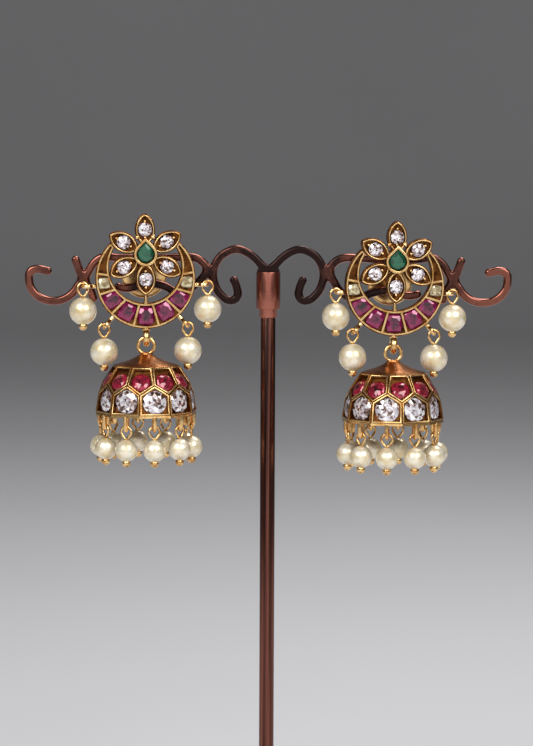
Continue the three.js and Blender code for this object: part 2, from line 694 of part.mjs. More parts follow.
function arm() {
  const half = ARM_SPAN / 2;
  const parts = [];
  for (const earring of EARRINGS) {
    const sign = Math.sign(earring.share);
    const point = ([out, up]) => [sign * out, 0, ARM_HEIGHT + up];
    const share = ([out, up]) => point([out * half, up * half]);
    for (const { shares, steps } of SCROLLS) {
      parts.push(rod(shares.map(share), ARM_ROD, steps));
    }
    const [out, up] = cradleTop(earring);
    const cradle = CRADLE.map(([dx, dz]) =>
      point([out - dx * CRESCENT_RADIUS, up + dz * CRESCENT_RADIUS]));
    parts.push(rod([share(KNOT), ...cradle], ARM_ROD, 8));
  }
  const radius = POLE_DIAMETER / 2;
  const seat = COLLAR_DIAMETER / 2;
  parts.push(turned(
    [[0, ARM_HEIGHT - SPIGOT_LENGTH], [radius, ARM_HEIGHT - SPIGOT_LENGTH], [radius, ARM_HEIGHT],
      [seat, ARM_HEIGHT], [seat, ARM_HEIGHT + ARM_ROD / 3], [0, ARM_HEIGHT + ARM_ROD]],
    POLE_SIDES,
  ));
  return joined(parts);
}

// Assembly
function stand() {
  const group = new THREE.Group();
  group.add(
    mesh("stand_foot", foot(), ANTIQUE_COPPER),
    mesh("stand_pole", pole(), ANTIQUE_COPPER),
    mesh("stand_collar", collar(), BRIGHT_COPPER),
    mesh("stand_arm", arm(), ANTIQUE_COPPER),
  );
  return group;
}

function stud(earring) {
  const group = new THREE.Group();
  group.position.set(hangX(earring), -HANG_FORWARD, ARM_HEIGHT - earring.below);
  group.rotation.set(0, earring.lean * DEGREE, earring.turn * DEGREE, "ZYX");
  group.add(
    mesh(`${earring.side}_stud_frame`, studFrame(earring), RUBY_GOLD),
    mesh(`${earring.side}_clutch`, clutch(), ANTIQUE_GOLD),
    mesh(`${earring.side}_emerald`, emerald(), EMERALD),
  );
  for (let i = 0; i < PETAL_COUNT; i++) {
    group.add(mesh(`${earring.side}_petal_stone_${i + 1}`, petalStone(i), WHITE_STONE));
  }
  group.updateMatrix();
  return group;
}

// Everything that hangs from the stud hangs straight down, whatever the stud's lean.
function hanging(earring, point, studMatrix) {
  const group = new THREE.Group();
  group.position.copy(point.applyMatrix4(studMatrix));
  group.rotation.z = earring.turn * DEGREE;
  return group;
}

const studDropGeometry = geometryOf(pearlDrop(PEG_WIRE, STUD_EYE_HEIGHT, STUD_PEARL_DIAMETER));
const fringeGeometry = geometryOf(
  pearlDrop(FRINGE_LOOP_WIRE, BELL_EYE_HEIGHT, BELL_PEARL_DIAMETER),
);
const bellGeometry = geometryOf(bell());

function studDrops(earring, studMatrix) {
  const names = ["upper", "lower"];
  return pegsOf(earring).flatMap((one, row) =>
    [-1, 1].map((mirror) => {
      const place = `${names[row]}_${mirror < 0 ? "left" : "right"}`;
      const group = hanging(earring, pegHook(one, mirror), studMatrix);
      group.add(mesh(`${earring.side}_pearl_${place}`, studDropGeometry, PEARL));
      return group;
    }),
  );
}

function bellGroup(earring, studMatrix) {
  const group = hanging(earring, new THREE.Vector3(0, 0, loopCentre), studMatrix);
  const body = mesh(`${earring.side}_bell`, bellGeometry, ANTIQUE_GOLD);
  body.position.z = -rimDrop;
  body.rotation.z = earring.bellTurn * DEGREE;
  group.add(body);
  for (let i = 0; i < BELL_SIDES; i++) {
    const drop = mesh(`${earring.side}_fringe_pearl_${i + 1}`, fringeGeometry, PEARL);
    const azimuth = (i + 0.5) * sideAngle + earring.bellTurn;
    drop.rotation.z = azimuth * DEGREE;
    drop.position.set(0, -fringeRadius, -rimDrop - FRINGE_LOOP_DROP);
    drop.position.applyAxisAngle(new THREE.Vector3(0, 0, 1), azimuth * DEGREE);
    group.add(drop);
  }
  return group;
}

const object = new THREE.Group();
object.add(stand());
for (const earring of EARRINGS) {
  const studGroup = stud(earring);
  object.add(studGroup, ...studDrops(earring, studGroup.matrix));
  object.add(bellGroup(earring, studGroup.matrix));
}

export default object;
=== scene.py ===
"""A pair of jhumka earrings hooked over the scroll arm of a small display stand.

Each earring is a stud, a gold crescent of red stones with a six-petalled flower in front of its
opening, and a ten-sided bell that swings from a loop under the crescent. The frame gives the places
of the stand, the studs and the bells. Shapes are drawn in millimetres in each piece's own axes, and
are laid in the frame, in metres, when they are finished.
"""

import json
import math
import random
from functools import cache
from types import SimpleNamespace

import bmesh
import bpy
from bpy.props import FloatProperty, FloatVectorProperty, IntProperty, PointerProperty
from bpy.types import Operator, Panel, PropertyGroup
from mathutils import Matrix, Vector


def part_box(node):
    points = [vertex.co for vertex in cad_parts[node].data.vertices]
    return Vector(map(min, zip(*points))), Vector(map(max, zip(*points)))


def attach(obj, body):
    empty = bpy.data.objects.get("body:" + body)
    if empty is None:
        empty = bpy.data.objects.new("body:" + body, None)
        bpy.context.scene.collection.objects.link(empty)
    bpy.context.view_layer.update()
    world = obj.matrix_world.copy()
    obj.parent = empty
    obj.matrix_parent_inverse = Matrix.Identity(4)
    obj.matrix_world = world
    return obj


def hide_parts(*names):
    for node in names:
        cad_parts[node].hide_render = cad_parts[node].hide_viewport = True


bl_info = {
    "name": "Jhumka Earrings on a Stand",
    "version": (1, 0, 0),
    "blender": (4, 5, 0),
    "location": "3D View > Sidebar > Jhumka",
    "description": "Builds a pair of jhumka earrings and their display stand round the packed frame",
    "category": "Object",
}

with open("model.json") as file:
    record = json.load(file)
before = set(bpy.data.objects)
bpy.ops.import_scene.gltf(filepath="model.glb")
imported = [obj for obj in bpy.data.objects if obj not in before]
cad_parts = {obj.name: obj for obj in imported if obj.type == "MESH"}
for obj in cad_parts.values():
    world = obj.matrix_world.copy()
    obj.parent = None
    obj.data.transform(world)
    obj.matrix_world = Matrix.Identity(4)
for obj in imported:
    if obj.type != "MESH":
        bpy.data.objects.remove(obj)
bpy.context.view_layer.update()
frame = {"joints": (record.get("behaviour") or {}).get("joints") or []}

MM = 0.001
WELD = 1e-4  # millimetres
UPRIGHT = 0.015  # how far a wall that is as good as upright leans in, in millimetres
STAND = "stand"
SIDES = ("left", "right")

# How each earring hangs: its lean to the right and the turn of its bell in degrees, and the
# length of its upper and lower pegs in millimetres.
HANGS = {
    "left": SimpleNamespace(lean=-0.9, upper_reach=2.3, lower_reach=2.5, bell_turn=-10),
    "right": SimpleNamespace(lean=0.8, upper_reach=1.7, lower_reach=2.3, bell_turn=2),
}


def linear(hex_value):
    """An sRGB hex colour as linear red, green and blue."""
    channels = [(hex_value >> shift & 255) / 255 for shift in (16, 8, 0)]
    return tuple(c / 12.92 if c <= 0.04045 else ((c + 0.055) / 1.055) ** 2.4 for c in channels)


def length(name, description, millimetres):
    """A length that a user may change, kept in metres."""
    return FloatProperty(
        name=name, description=description, default=millimetres * MM, min=0, unit="LENGTH", precision=5
    )


def colour(name, description, hex_value):
    """A colour that a user may change."""
    return FloatVectorProperty(
        name=name, description=description, default=linear(hex_value), min=0, max=1, subtype="COLOR"
    )


def settings(group):
    """A property group's values, its lengths in the millimetres that the shapes are drawn in."""
    group = getattr(bpy.context.scene, f"jhumka_{group}")
    values = {}
    for name, described in group.bl_rna.properties.items():
        if name not in {"rna_type", "name"}:
            value = getattr(group, name)
            values[name] = value / MM if getattr(described, "unit", "NONE") == "LENGTH" else value
    return SimpleNamespace(**values)


class StandSizes(PropertyGroup):
    """Sizes of the display stand."""

    foot_diameter: length("Foot diameter", "Across the round foot", 60)
    foot_edge: length("Foot edge", "Height of the foot's upright edge", 3)
    foot_rise: length("Foot rise", "From the edge up to the boss", 3.2)
    boss_diameter: length("Boss diameter", "Boss that takes the pole", 8)
    boss_height: length("Boss height", "Height of that boss", 3)
    pole_diameter: length("Pole diameter", "Across the pole", 2.7)
    collar_diameter: length("Collar diameter", "Bright collar under the arm", 4.4)
    collar_length: length("Collar length", "Height of the collar", 6.7)
    neck_diameter: length("Ring diameter", "Plain ring under the collar", 3.2)
    arm_rod: length("Scroll thickness", "Thickness of the scrolls", 1.65)
    arm_flat: length("Scroll flat", "Half the depth between the scrolls' flats", 0.62)
    arm_span: length("Arm span", "From tip to tip of the scrolls", 88.4)
    web: length("Knot web", "Half the width of the metal that fills a knot", 1.25)


class StudSizes(PropertyGroup):
    """Sizes of the crescents and flowers."""

    radius: length("Crescent radius", "Outer radius of the crescent", 9)
    foot_width: length("Crescent width", "Width of the crescent at its lowest point", 4.6)
    horn_width: length("Horn width", "Width of the crescent at its horns' tips", 1.12)
    horn_angle: FloatProperty(
        name="Horn angle", description="Horn tips, from straight down", default=math.radians(137),
        subtype="ANGLE",
    )
    front: length("Crescent front", "Its rims in front of its middle plane", 1)
    back: length("Crescent back", "Its back behind its middle plane", 0.8)
    cell_depth: length("Cell depth", "Depth of the crescent's cells", 0.8)
    rim: length("Rim", "Width of the rim round each of its cells", 0.18)
    edge: length("Edge", "How much wider the rim is along the crescent's edges", 0.08)
    ledge: length("Ledge", "Width of the low ledge round the crescent and the petals", 0.16)
    ledge_drop: length("Ledge drop", "That ledge below the rims", 0.5)
    flower_rise: length("Flower rise", "Flower's centre above the crescent's", 4.4)
    petal_root: length("Petal root", "Nearest point of a petal to the flower's centre", 1.55)
    petal_tip: length("Petal tip", "Farthest point of a petal from the flower's centre", 7.35)
    petal_width: length("Petal width", "Across a petal", 3.65)
    petal_point: FloatProperty(
        name="Petal point", description="How pointed a petal is, from 1 for an oval", default=1.35, min=1
    )
    petal_wall: length("Petal wall", "Width of a petal's rim", 0.25)
    petal_front: length("Petal front", "Petals' rims in front of the crescent's middle plane", 2.4)
    petal_back: length("Petal back", "Petals' backs in front of that plane", 0.6)
    petal_bowl: length("Petal bowl", "Depth of a petal's bowl", 0.95)
    petal_stone: length("Petal stone", "Across a petal's white stone", 2.5)
    grain: length("Grain", "Across a gold grain beside a stone", 0.6)
    granule: length("Granule", "Across a gold granule between the upper petals", 0.95)
    bezel_width: length("Bezel width", "Across the drop-shaped bezel", 4.3)
    bezel_height: length("Bezel height", "Height of the bezel", 5.2)
    bezel_wall: length("Bezel wall", "Width of the bezel's rim", 0.4)
    bezel_rise: length("Bezel rise", "Its centre above the flower's", 0.5)
    bezel_front: length("Bezel front", "Its rim in front of the crescent's middle plane", 3.4)
    bezel_cup: length("Bezel cup", "Depth of its cup", 1.1)
    stay_width: length("Stay width", "Stay between the lowest petal and the crescent", 0.75)
    ruby: length("Ruby", "Across a crescent ruby", 2.95)
    pale_stone: length("Pale stone", "Across the crescent's square pale stone", 2)
    post_diameter: length("Post diameter", "Across the ear post", 0.9)
    post_length: length("Post length", "Length of the ear post", 9.6)
    post_rise: length("Post rise", "Post above the crescent's centre", 0.3)
    clutch_diameter: length("Clutch diameter", "Across the clutch's flange", 8.2)
    clutch_barrel: length("Clutch barrel", "Across its barrel", 3.2)
    clutch_length: length("Clutch length", "Front to back of the clutch", 2.9)
    loop_diameter: length("Loop diameter", "Loop under the crescent, outside", 3.3)
    loop_wire: length("Loop wire", "Thickness of that loop", 1.2)


class DropSizes(PropertyGroup):
    """Sizes of the pegs, pins and pearls."""

    peg_wire: length("Peg wire", "Thickness of the pegs' wire", 0.72)
    peg_loop: length("Peg loop", "Half the width of the loop at a peg's end", 0.82)
    pin_wire: length("Pin wire", "Thickness of the pins' wire", 0.44)
    eye_width: length("Eye width", "Across a pin's eye", 2.4)
    stud_eye: length("Upper eye", "Height of the eyes on the stud's pearls", 2.9)
    bell_eye: length("Fringe eye", "Height of the eyes on the fringe's pearls", 2.65)
    stud_pearl: length("Upper pearl", "Across the stud's pearls", 5)
    bell_pearl: length("Fringe pearl", "Across the fringe's pearls", 4)
    ball: length("Pin ball", "Across the ball at a pin's foot", 1.55)
    ball_shows: length("Ball shows", "Middle of that ball below the pearl's foot", 0.25)
    link_gap: length("Link gap", "Slack between one hooked wire and the next", 0.06)


class BellSizes(PropertyGroup):
    """Sizes of the bells."""

    sides: IntProperty(name="Sides", description="Sides of the bell", default=10, min=5)
    radius: length("Bell radius", "To a corner of the bell's rim", 9.2)
    height: length("Bell height", "From the rim to the edge of the roof", 8.8)
    shoulder: length("Shoulder radius", "To a corner of the roof's edge", 5.8)
    lower_slope: FloatProperty(
        name="Lower slope", description="How much the lower row leans in with height", default=0.16
    )
    upper_slope: FloatProperty(
        name="Upper slope", description="How much the upper row leans in with height", default=0.675
    )
    wall: length("Bell wall", "Thickness of the bell", 1.1)
    roof_rise: length("Roof rise", "From the roof's edge up to the neck's top", 2)
    neck_width: length("Neck width", "Across the neck", 2.3)
    band: length("Rim band", "Plain edge under the lower cells", 0.4)
    groove: length("Groove", "Half the dark groove between two cells' rims", 0.06)
    rim: length("Cell rim", "Width of the raised rim round a cell", 0.3)
    seat: length("Seat", "Width of the thin seat round a cell's stone", 0.1)
    rim_rise: length("Rim rise", "A cell's rim above the groove", 0.16)
    cell_depth: length("Cell depth", "A cell's floor below its rim", 0.65)
    white_stone: length("White stone", "Across a lower row's stone", 4.3)
    red_stone_width: length("Red stone width", "Across an upper row's stone", 3.3)
    red_stone_height: length("Red stone height", "Up an upper row's stone", 3.3)
    ring_diameter: length("Ring diameter", "Ring on top of the bell, outside", 3.6)
    ring_wire: length("Ring wire", "Thickness of that ring", 0.65)
    loop_drop: length("Loop drop", "Rim down to the lowest wire of a fringe loop", 2.25)
    loop_width: length("Loop width", "Across a fringe loop", 1.5)
    loop_wire: length("Loop wire", "Thickness of a fringe loop", 0.78)


class Finishes(PropertyGroup):
    """Colours of the metals, stones and pearls."""

    gold: colour("Gold", "Polished edges of the antique gold", 0xF8D090)
    gold_shade: colour("Gold shade", "The same gold where it is a little tarnished", 0xC68E4C)
    oxide: colour("Oxide", "Gold left dark in the recesses", 0x7A4A22)
    oxide_shade: colour("Oxide shade", "Deepest colour of the recesses", 0x301A0C)
    roof: colour("Roof", "Coppery gold of the bell's roof", 0xB0703E)
    # Where the arm's copper shows lighter along its edges, it is partly wiped and partly a painted
    # highlight.
    copper: colour("Antique copper", "Stand where it is wiped", 0x8C5648)
    copper_shade: colour("Antique copper shade", "Stand where it is dark", 0x302321)
    bright_copper: colour("Bright copper", "Collar under the arm", 0xAE6C5C)
    pearl: colour("Pearl", "Imitation pearl", 0xF2EAD6)
    pearl_shade: colour("Pearl shade", "Where its coating is thin", 0xDCC898)
    emerald: colour("Emerald", "Green stone", 0x0F6040)
    emerald_shade: colour("Emerald shade", "Its dark facets", 0x042014)
    ruby: colour("Ruby", "Lit facets of the crescent's rubies", 0x8E0F50)
    ruby_shade: colour("Ruby shade", "Their dark tables", 0x14010A)
    red_stone: colour("Red stone", "Lit part of the bell's red stones", 0xA81C3A)
    red_stone_shade: colour("Red stone shade", "Dark part of the bell's red stones", 0x2A020A)


# Materials


def add_node(tree, kind, settings=None, values=None, links=None):
    """Adds a node with its settings, the constants on its sockets and the links into it."""
    node = tree.nodes.new(kind)
    for key, value in (settings or {}).items():
        setattr(node, key, value)
    for key, value in (values or {}).items():
        node.inputs[key].default_value = value
    for key, socket in (links or {}).items():
        tree.links.new(socket, node.inputs[key])
    return node


def blank(name, values):
    """A new material, its tree, its shader with these values, and the piece's own axes."""
    material = bpy.data.materials.new(name)
    material.use_nodes = True
    tree = material.node_tree
    tree.nodes.clear()
    shader = add_node(tree, "ShaderNodeBsdfPrincipled", values=values)
    add_node(tree, "ShaderNodeOutputMaterial", links={"Surface": shader.outputs["BSDF"]})
    return material, tree, shader, add_node(tree, "ShaderNodeTexCoord").outputs["Object"]


def dress(tree, shader, pattern, stops, gloss=None, relief=None):
    """Lets a pattern set a shader's colour and gloss, and a second pattern its relief.

    Stops are (value, linear colour) pairs. Gloss is the two values that it runs between and the
    roughness at each. Relief is the second pattern, its strength and its depth in millimetres.
    """
    ramp = add_node(tree, "ShaderNodeValToRGB", links={"Fac": pattern})
    elements = ramp.color_ramp.elements
    while len(elements) < len(stops):
        elements.new(0.5)
    for element, (value, rgb) in zip(elements, stops):
        element.position = value
        element.color = (*rgb, 1)
    tree.links.new(ramp.outputs["Color"], shader.inputs["Base Color"])
    if gloss:
        names = ("From Min", "From Max", "To Min", "To Max")
        values = dict(zip(names, gloss))
        between = add_node(tree, "ShaderNodeMapRange", values=values, links={"Value": pattern})
        tree.links.new(between.outputs["Result"], shader.inputs["Roughness"])
    if relief:
        height, strength, depth = relief
        values = {"Strength": strength, "Distance": depth * MM}
        bump = add_node(tree, "ShaderNodeBump", values=values, links={"Height": height})
        tree.links.new(bump.outputs["Normal"], shader.inputs["Normal"])


def per_metre(millimetres):
    """A pattern's scale on object coordinates, from the size of one of its features."""
    return 1 / (millimetres * MM)


def tarnished(name, dark, light, feature, roughness, grit, depth, lightening=""):
    """A cast metal whose colour and gloss drift over a feature's size, with a fine grit.

    The roughness is given where it is dark and where it is light. Where an attribute is named, its value is
    how much lighter the metal is painted there, as wear and as a painted highlight.
    """
    material, tree, shader, place = blank(name, {"Metallic": 1.0})
    drift = add_node(
        tree, "ShaderNodeTexNoise", values={"Scale": per_metre(feature), "Detail": 5.0, "Roughness": 0.6},
        links={"Vector": place},
    ).outputs["Fac"]
    if lightening:
        # The attribute adds painted lightness: on the arm, a painted highlight along its edges as well as
        # wiped copper.
        lightened_by = add_node(tree, "ShaderNodeAttribute", settings={"attribute_name": lightening}).outputs["Fac"]
        drift = add_node(tree, "ShaderNodeMath", links={0: drift, 1: lightened_by}).outputs["Value"]
    grain = add_node(
        tree, "ShaderNodeTexNoise", values={"Scale": per_metre(grit), "Detail": 3.0},
        links={"Vector": place},
    ).outputs["Fac"]
    stops = [(0.34, dark), (0.56, light)]
    dress(tree, shader, drift, stops, (0.35, 0.65, *roughness), (grain, 0.35, depth))
    return material


@cache
def antique_gold_plate():
    """Brass cast, gold plated and wiped back: raised edges are bright and warm."""
    finish = settings("finishes")
    return tarnished("antique_gold_plate", finish.gold_shade, finish.gold, 1.8, (0.29, 0.17), 0.22, 0.012)


@cache
def oxidised_gold():
    """The same plate where the dark oxide was left in the recesses: brown and half dull."""
    finish = settings("finishes")
    return tarnished("oxidised_gold", finish.oxide_shade, finish.oxide, 1.2, (0.5, 0.36), 0.2, 0.03)


@cache
def coppery_plate():
    """Thinly plated roof, where the brass shows through reddish and satin."""
    finish = settings("finishes")
    return tarnished("coppery_plate", finish.oxide, finish.roof, 2.4, (0.4, 0.27), 0.25, 0.03)


@cache
def antique_copper():
    """Cast stand plated in antique copper and lacquered: dark, with rosy wiped places, a painted highlight
    along the arm's edges, and lighter towards the arm's ends.
    """
    finish = settings("finishes")
    return tarnished(
        "antique_copper", finish.copper_shade, finish.copper, 9.0, (0.26, 0.16), 0.35, 0.006, "lightening"
    )


def brushed(name, stops, streak, stretch, roughness):
    """A smooth lacquered metal with faint streaks along the axes that the stretch makes long."""
    material, tree, shader, place = blank(name, {"Metallic": 1.0})
    along = add_node(tree, "ShaderNodeMapping", values={"Scale": stretch}, links={"Vector": place})
    streaks = add_node(
        tree, "ShaderNodeTexNoise", values={"Scale": per_metre(streak), "Detail": 3.0},
        links={"Vector": along.outputs["Vector"]},
    ).outputs["Fac"]
    dress(tree, shader, streaks, stops, (0, 1, *roughness), (streaks, 0.15, 0.01))
    return material


@cache
def drawn_copper():
    """Drawn rod, blackened and lacquered: dark and mirror-like, with faint long copper streaks."""
    finish = settings("finishes")
    stops = [(0.35, finish.copper_shade), (0.7, finish.copper)]
    # Streaks of 0.6 mm are drawn 80 times as long.
    return brushed("drawn_copper", stops, 0.6, (1, 1, 1 / 80), (0.24, 0.14))


@cache
def turned_copper():
    """The collar: bright copper turned on a lathe and buffed, with a satin gloss."""
    finish = settings("finishes")
    # The tool's rings are finer than can be seen, and are drawn 0.3 mm apart and very faint.
    stops = [(0.2, tuple(c * 0.85 for c in finish.bright_copper)), (0.7, finish.bright_copper)]
    return brushed("turned_copper", stops, 0.3, (1 / 30, 1 / 30, 1), (0.28, 0.2))


@cache
def imitation_pearl():
    """Plastic bead dipped in pearl lacquer: cream, soft inside, with a clear gloss over it."""
    finish = settings("finishes")
    material, tree, shader, place = blank("imitation_pearl", {
        "Metallic": 0.4, "Roughness": 0.34, "Subsurface Weight": 0.3, "Subsurface Scale": 0.6 * MM,
        "Subsurface Radius": (1.0, 0.85, 0.6), "Coat Weight": 0.6, "Coat Roughness": 0.16,
    })
    clouds = add_node(
        tree, "ShaderNodeTexNoise", values={"Scale": per_metre(1.6), "Detail": 4.0}, links={"Vector": place}
    ).outputs["Fac"]
    skin = add_node(
        tree, "ShaderNodeTexNoise", values={"Scale": per_metre(0.35), "Detail": 2.0},
        links={"Vector": place},
    ).outputs["Fac"]
    stops = [(0.32, finish.pearl_shade), (0.62, finish.pearl)]
    dress(tree, shader, clouds, stops, relief=(skin, 0.12, 0.015))
    return material


def foiled_stone(name, stops, metallic, roughness=0.06, play=0.5):
    """A cut stone with foil behind it: each facet throws back its own share of the light."""
    values = {"Metallic": metallic, "Roughness": roughness, "Coat Weight": 1.0, "Coat Roughness": 0.03}
    material, tree, shader, place = blank(name, values)
    facet = add_node(tree, "ShaderNodeAttribute", settings={"attribute_name": "facet"})
    # Reflections between the foil and the facets break up into shards of about half a millimetre.
    shards = add_node(
        tree, "ShaderNodeTexVoronoi", values={"Scale": per_metre(0.5)}, links={"Vector": place}
    )
    shard = add_node(tree, "ShaderNodeSeparateColor", links={"Color": shards.outputs["Color"]})
    change = add_node(
        tree, "ShaderNodeMath", settings={"operation": "MULTIPLY_ADD"}, values={1: play, 2: -play / 2},
        links={0: shard.outputs["Red"]},
    )
    total = add_node(
        tree, "ShaderNodeMath", settings={"operation": "ADD", "use_clamp": True},
        links={0: facet.outputs["Fac"], 1: change.outputs["Value"]},
    )
    dress(tree, shader, total.outputs["Value"], stops)
    return material


@cache
def white_zircon():
    """Clear brilliant-cut zircon over silver foil: white and lilac facets, a few brown from the gold."""
    stops = [
        (0.02, linear(0x3A2820)), (0.22, linear(0x8A6858)), (0.4, linear(0xB0A0A4)),
        (0.6, linear(0xDAD2DC)), (0.85, linear(0xFFFFFF)),
    ]
    return foiled_stone("white_zircon", stops, 0.35)


@cache
def pale_crystal():
    """Small square champagne crystal over gold foil: straw and brown facets."""
    stops = [(0.0, linear(0x3A2A18)), (0.4, linear(0x9A8458)), (0.8, linear(0xEDE2BC))]
    return foiled_stone("pale_crystal", stops, 0.4)


@cache
def ruby_glass():
    """Cushion-cut ruby glass over foil: magenta crown facets round a dark table."""
    finish = settings("finishes")
    return foiled_stone("ruby_glass", [(0.2, finish.ruby_shade), (0.8, finish.ruby)], 0.3, play=0.3)


@cache
def red_glass():
    """Domed red glass over foil in the bell: lighter and pinker than the crescent's."""
    finish = settings("finishes")
    return foiled_stone("red_glass", [(0.15, finish.red_stone_shade), (0.8, finish.red_stone)], 0.25, 0.1)


@cache
def emerald_glass():
    """Drop-cut emerald glass: deep green, with a pale table edge where it catches the light."""
    finish = settings("finishes")
    return foiled_stone("emerald_glass", [(0.05, finish.emerald_shade), (0.7, finish.emerald)], 0.3)


@cache
def pale_floor():
    """Seamless matt paper, a little uneven where it is wide."""
    material, tree, shader, place = blank("pale_floor", {"Roughness": 0.9})
    tone = add_node(tree, "ShaderNodeTexNoise", values={"Scale": per_metre(400)}, links={"Vector": place})
    dress(tree, shader, tone.outputs["Fac"], [(0.3, linear(0xCFCFD2)), (0.7, linear(0xD5D5D8))])
    return material


# Forms


def move(x, y, z):
    return Matrix.Translation((x, y, z))


def rotate(angle, axis):
    return Matrix.Rotation(angle, 4, axis)


def of_kind(geometry, kind):
    return [item for item in geometry if isinstance(item, kind)]


def link(name, data):
    """Puts new data into the scene as an object."""
    thing = bpy.data.objects.new(name, data)
    bpy.context.scene.collection.objects.link(thing)
    return thing


def chain(bm, points):
    """Edges from point to point, each (across, up)."""
    verts = [bm.verts.new((x, 0, z)) for x, z in points]
    return [bm.edges.new(pair) for pair in zip(verts, verts[1:])]


def closed(bm):
    """Welds a form's seams and turns its faces outwards."""
    bmesh.ops.remove_doubles(bm, verts=bm.verts, dist=WELD)
    bmesh.ops.recalc_face_normals(bm, faces=bm.faces)
    return bm


def turn_whole(bm, axis, steps):
    """Sweeps all there is once round an axis through the middle."""
    bmesh.ops.spin(
        bm, geom=bm.verts[:] + bm.edges[:], cent=(0, 0, 0), axis=axis, angle=2 * math.pi, steps=steps,
        use_merge=True,
    )
    return closed(bm)


def spun(profile, steps=64):
    """A round form: a profile of (radius, height) pairs turned about Z."""
    bm = bmesh.new()
    chain(bm, profile)
    return turn_whole(bm, (0, 0, 1), steps)


def arc(radius, centre, start, end, steps):
    """Points of a round stretch of a profile; angles in degrees from straight down."""
    points = []
    for i in range(steps + 1):
        angle = math.radians(start + (end - start) * i / steps)
        points.append((centre[0] + math.sin(angle) * radius, centre[1] - math.cos(angle) * radius))
    return points


def soften(bm, width, angle=40, segments=2):
    """Rounds every edge that is sharper than the angle."""
    sharp = [
        e for e in bm.edges if len(e.link_faces) == 2 and e.calc_face_angle() > math.radians(angle)
    ]
    bmesh.ops.bevel(
        bm, geom=sharp, offset=width, offset_type="OFFSET", segments=segments, profile=0.5,
        affect="EDGES", clamp_overlap=True, material=-1,
    )
    return bm


def ring(outer_diameter, wire, steps=56, sides=16):
    """A round wire ring in the XZ plane."""
    bm = bmesh.new()
    place = move((outer_diameter - wire) / 2, 0, 0)
    bmesh.ops.create_circle(bm, segments=sides, radius=wire / 2, matrix=place)
    return turn_whole(bm, (0, 1, 0), steps)


def ball(diameter, fine=3):
    bm = bmesh.new()
    bmesh.ops.create_icosphere(bm, subdivisions=fine, radius=diameter / 2)
    return bm


def wire(points, diameter, joined=False, steps=8):
    """A round wire along a smooth line through the points, its ends closed or joined."""
    curve = bpy.data.curves.new("wire", "CURVE")
    curve.dimensions = "3D"
    curve.bevel_depth = diameter / 2
    curve.bevel_resolution = 2
    curve.use_fill_caps = not joined
    curve.resolution_u = steps
    spline = curve.splines.new("BEZIER")
    spline.bezier_points.add(len(points) - 1)
    spline.use_cyclic_u = joined
    for knot, point in zip(spline.bezier_points, points):
        knot.co = point
        knot.handle_left_type = knot.handle_right_type = "AUTO"
    holder = bpy.data.objects.new("wire", curve)
    mesh = bpy.data.meshes.new_from_object(holder)
    bm = bmesh.new()
    bm.from_mesh(mesh)
    bpy.data.objects.remove(holder)
    bpy.data.curves.remove(curve)
    bpy.data.meshes.remove(mesh)
    return closed(bm)


def add_form(bm, form, place=None):
    """Adds a form to another at its place, with its own material numbers."""
    form.transform(place or Matrix())
    mesh = bpy.data.meshes.new("form")
    form.to_mesh(mesh)
    form.free()
    bm.from_mesh(mesh)
    bpy.data.meshes.remove(mesh)
    return bm


def sheet(outline):
    """A flat face that looks forwards, from (across, up) points that run anticlockwise."""
    bm = bmesh.new()
    bm.faces.new([bm.verts.new((x, 0, z)) for x, z in outline])
    bm.normal_update()
    return bm


def inset(bm, faces, thickness, depth=0):
    """Insets the faces together and moves them along their normals; returns the faces round them."""
    return bmesh.ops.inset_region(
        bm, faces=faces, thickness=thickness, depth=depth, use_boundary=True, use_even_offset=True
    )["faces"]


def sunk(bm, faces, wall, depth, number):
    """Leaves a rim round the faces, sinks what is inside it and gives that another material."""
    inset(bm, faces, wall)
    for face in inset(bm, faces, UPRIGHT, -depth) + faces:
        face.material_index = number


def stepped(bm, ledge, rise):
    """Leaves a low dark ledge all round an open sheet and raises the rest."""
    faces = bm.faces[:]
    for face in inset(bm, faces, ledge) + inset(bm, faces, UPRIGHT, rise):
        face.material_index = 1


def backed(bm, depth):
    """Gives an open sheet that looks forwards its side walls and a flat back."""
    edges = [e for e in bm.edges if e.is_boundary]
    moved = bmesh.ops.extrude_edge_only(bm, edges=edges)["geom"]
    bmesh.ops.translate(bm, verts=of_kind(moved, bmesh.types.BMVert), vec=(0, depth, 0))
    bmesh.ops.contextual_create(bm, geom=of_kind(moved, bmesh.types.BMEdge))
    bmesh.ops.recalc_face_normals(bm, faces=bm.faces)
    return bm


def tray(outline, ledge, wall, bowl, thickness):
    """A setting: a flat piece of an outline with a low ledge, a rim and a sunk dark bowl."""
    bm = sheet(outline)
    face = bm.faces[:]
    stepped(bm, ledge, bowl * 0.5)
    sunk(bm, face, wall, bowl, 1)
    bm.transform(move(0, bowl * 0.5, 0))
    return backed(bm, thickness - bowl * 0.5)


# Rings of a brilliant cut, from the table's middle out: share of the radius, share of the crown's
# height, corners, and the turn of the first corner in shares of a corner.
BRILLIANT = (
    (0, 1.05, 1, 0), (0.3, 1.035, 8, 0), (0.56, 1, 8, 0.5), (0.8, 0.56, 8, 0), (1, 0, 16, 0),
    (0.97, -0.2, 16, 0),
)
CUSHION = ((0, 1.0, 1, 0), (0.6, 1, 8, 0.5), (0.82, 0.62, 8, 0.5), (1, 0, 16, 0), (0.97, -0.2, 16, 0))
DOME = (
    (0, 1.0, 1, 0), (0.3, 0.94, 10, 0), (0.58, 0.77, 10, 0.5), (0.83, 0.46, 20, 0), (1, 0, 20, 0),
    (0.97, -0.2, 20, 0),
)


def smoothed(bm, passes):
    """Evens a form's surface out."""
    for _ in range(passes):
        bmesh.ops.smooth_vert(
            bm, verts=bm.verts, factor=0.5, use_axis_x=True, use_axis_y=True, use_axis_z=True
        )
    return bm


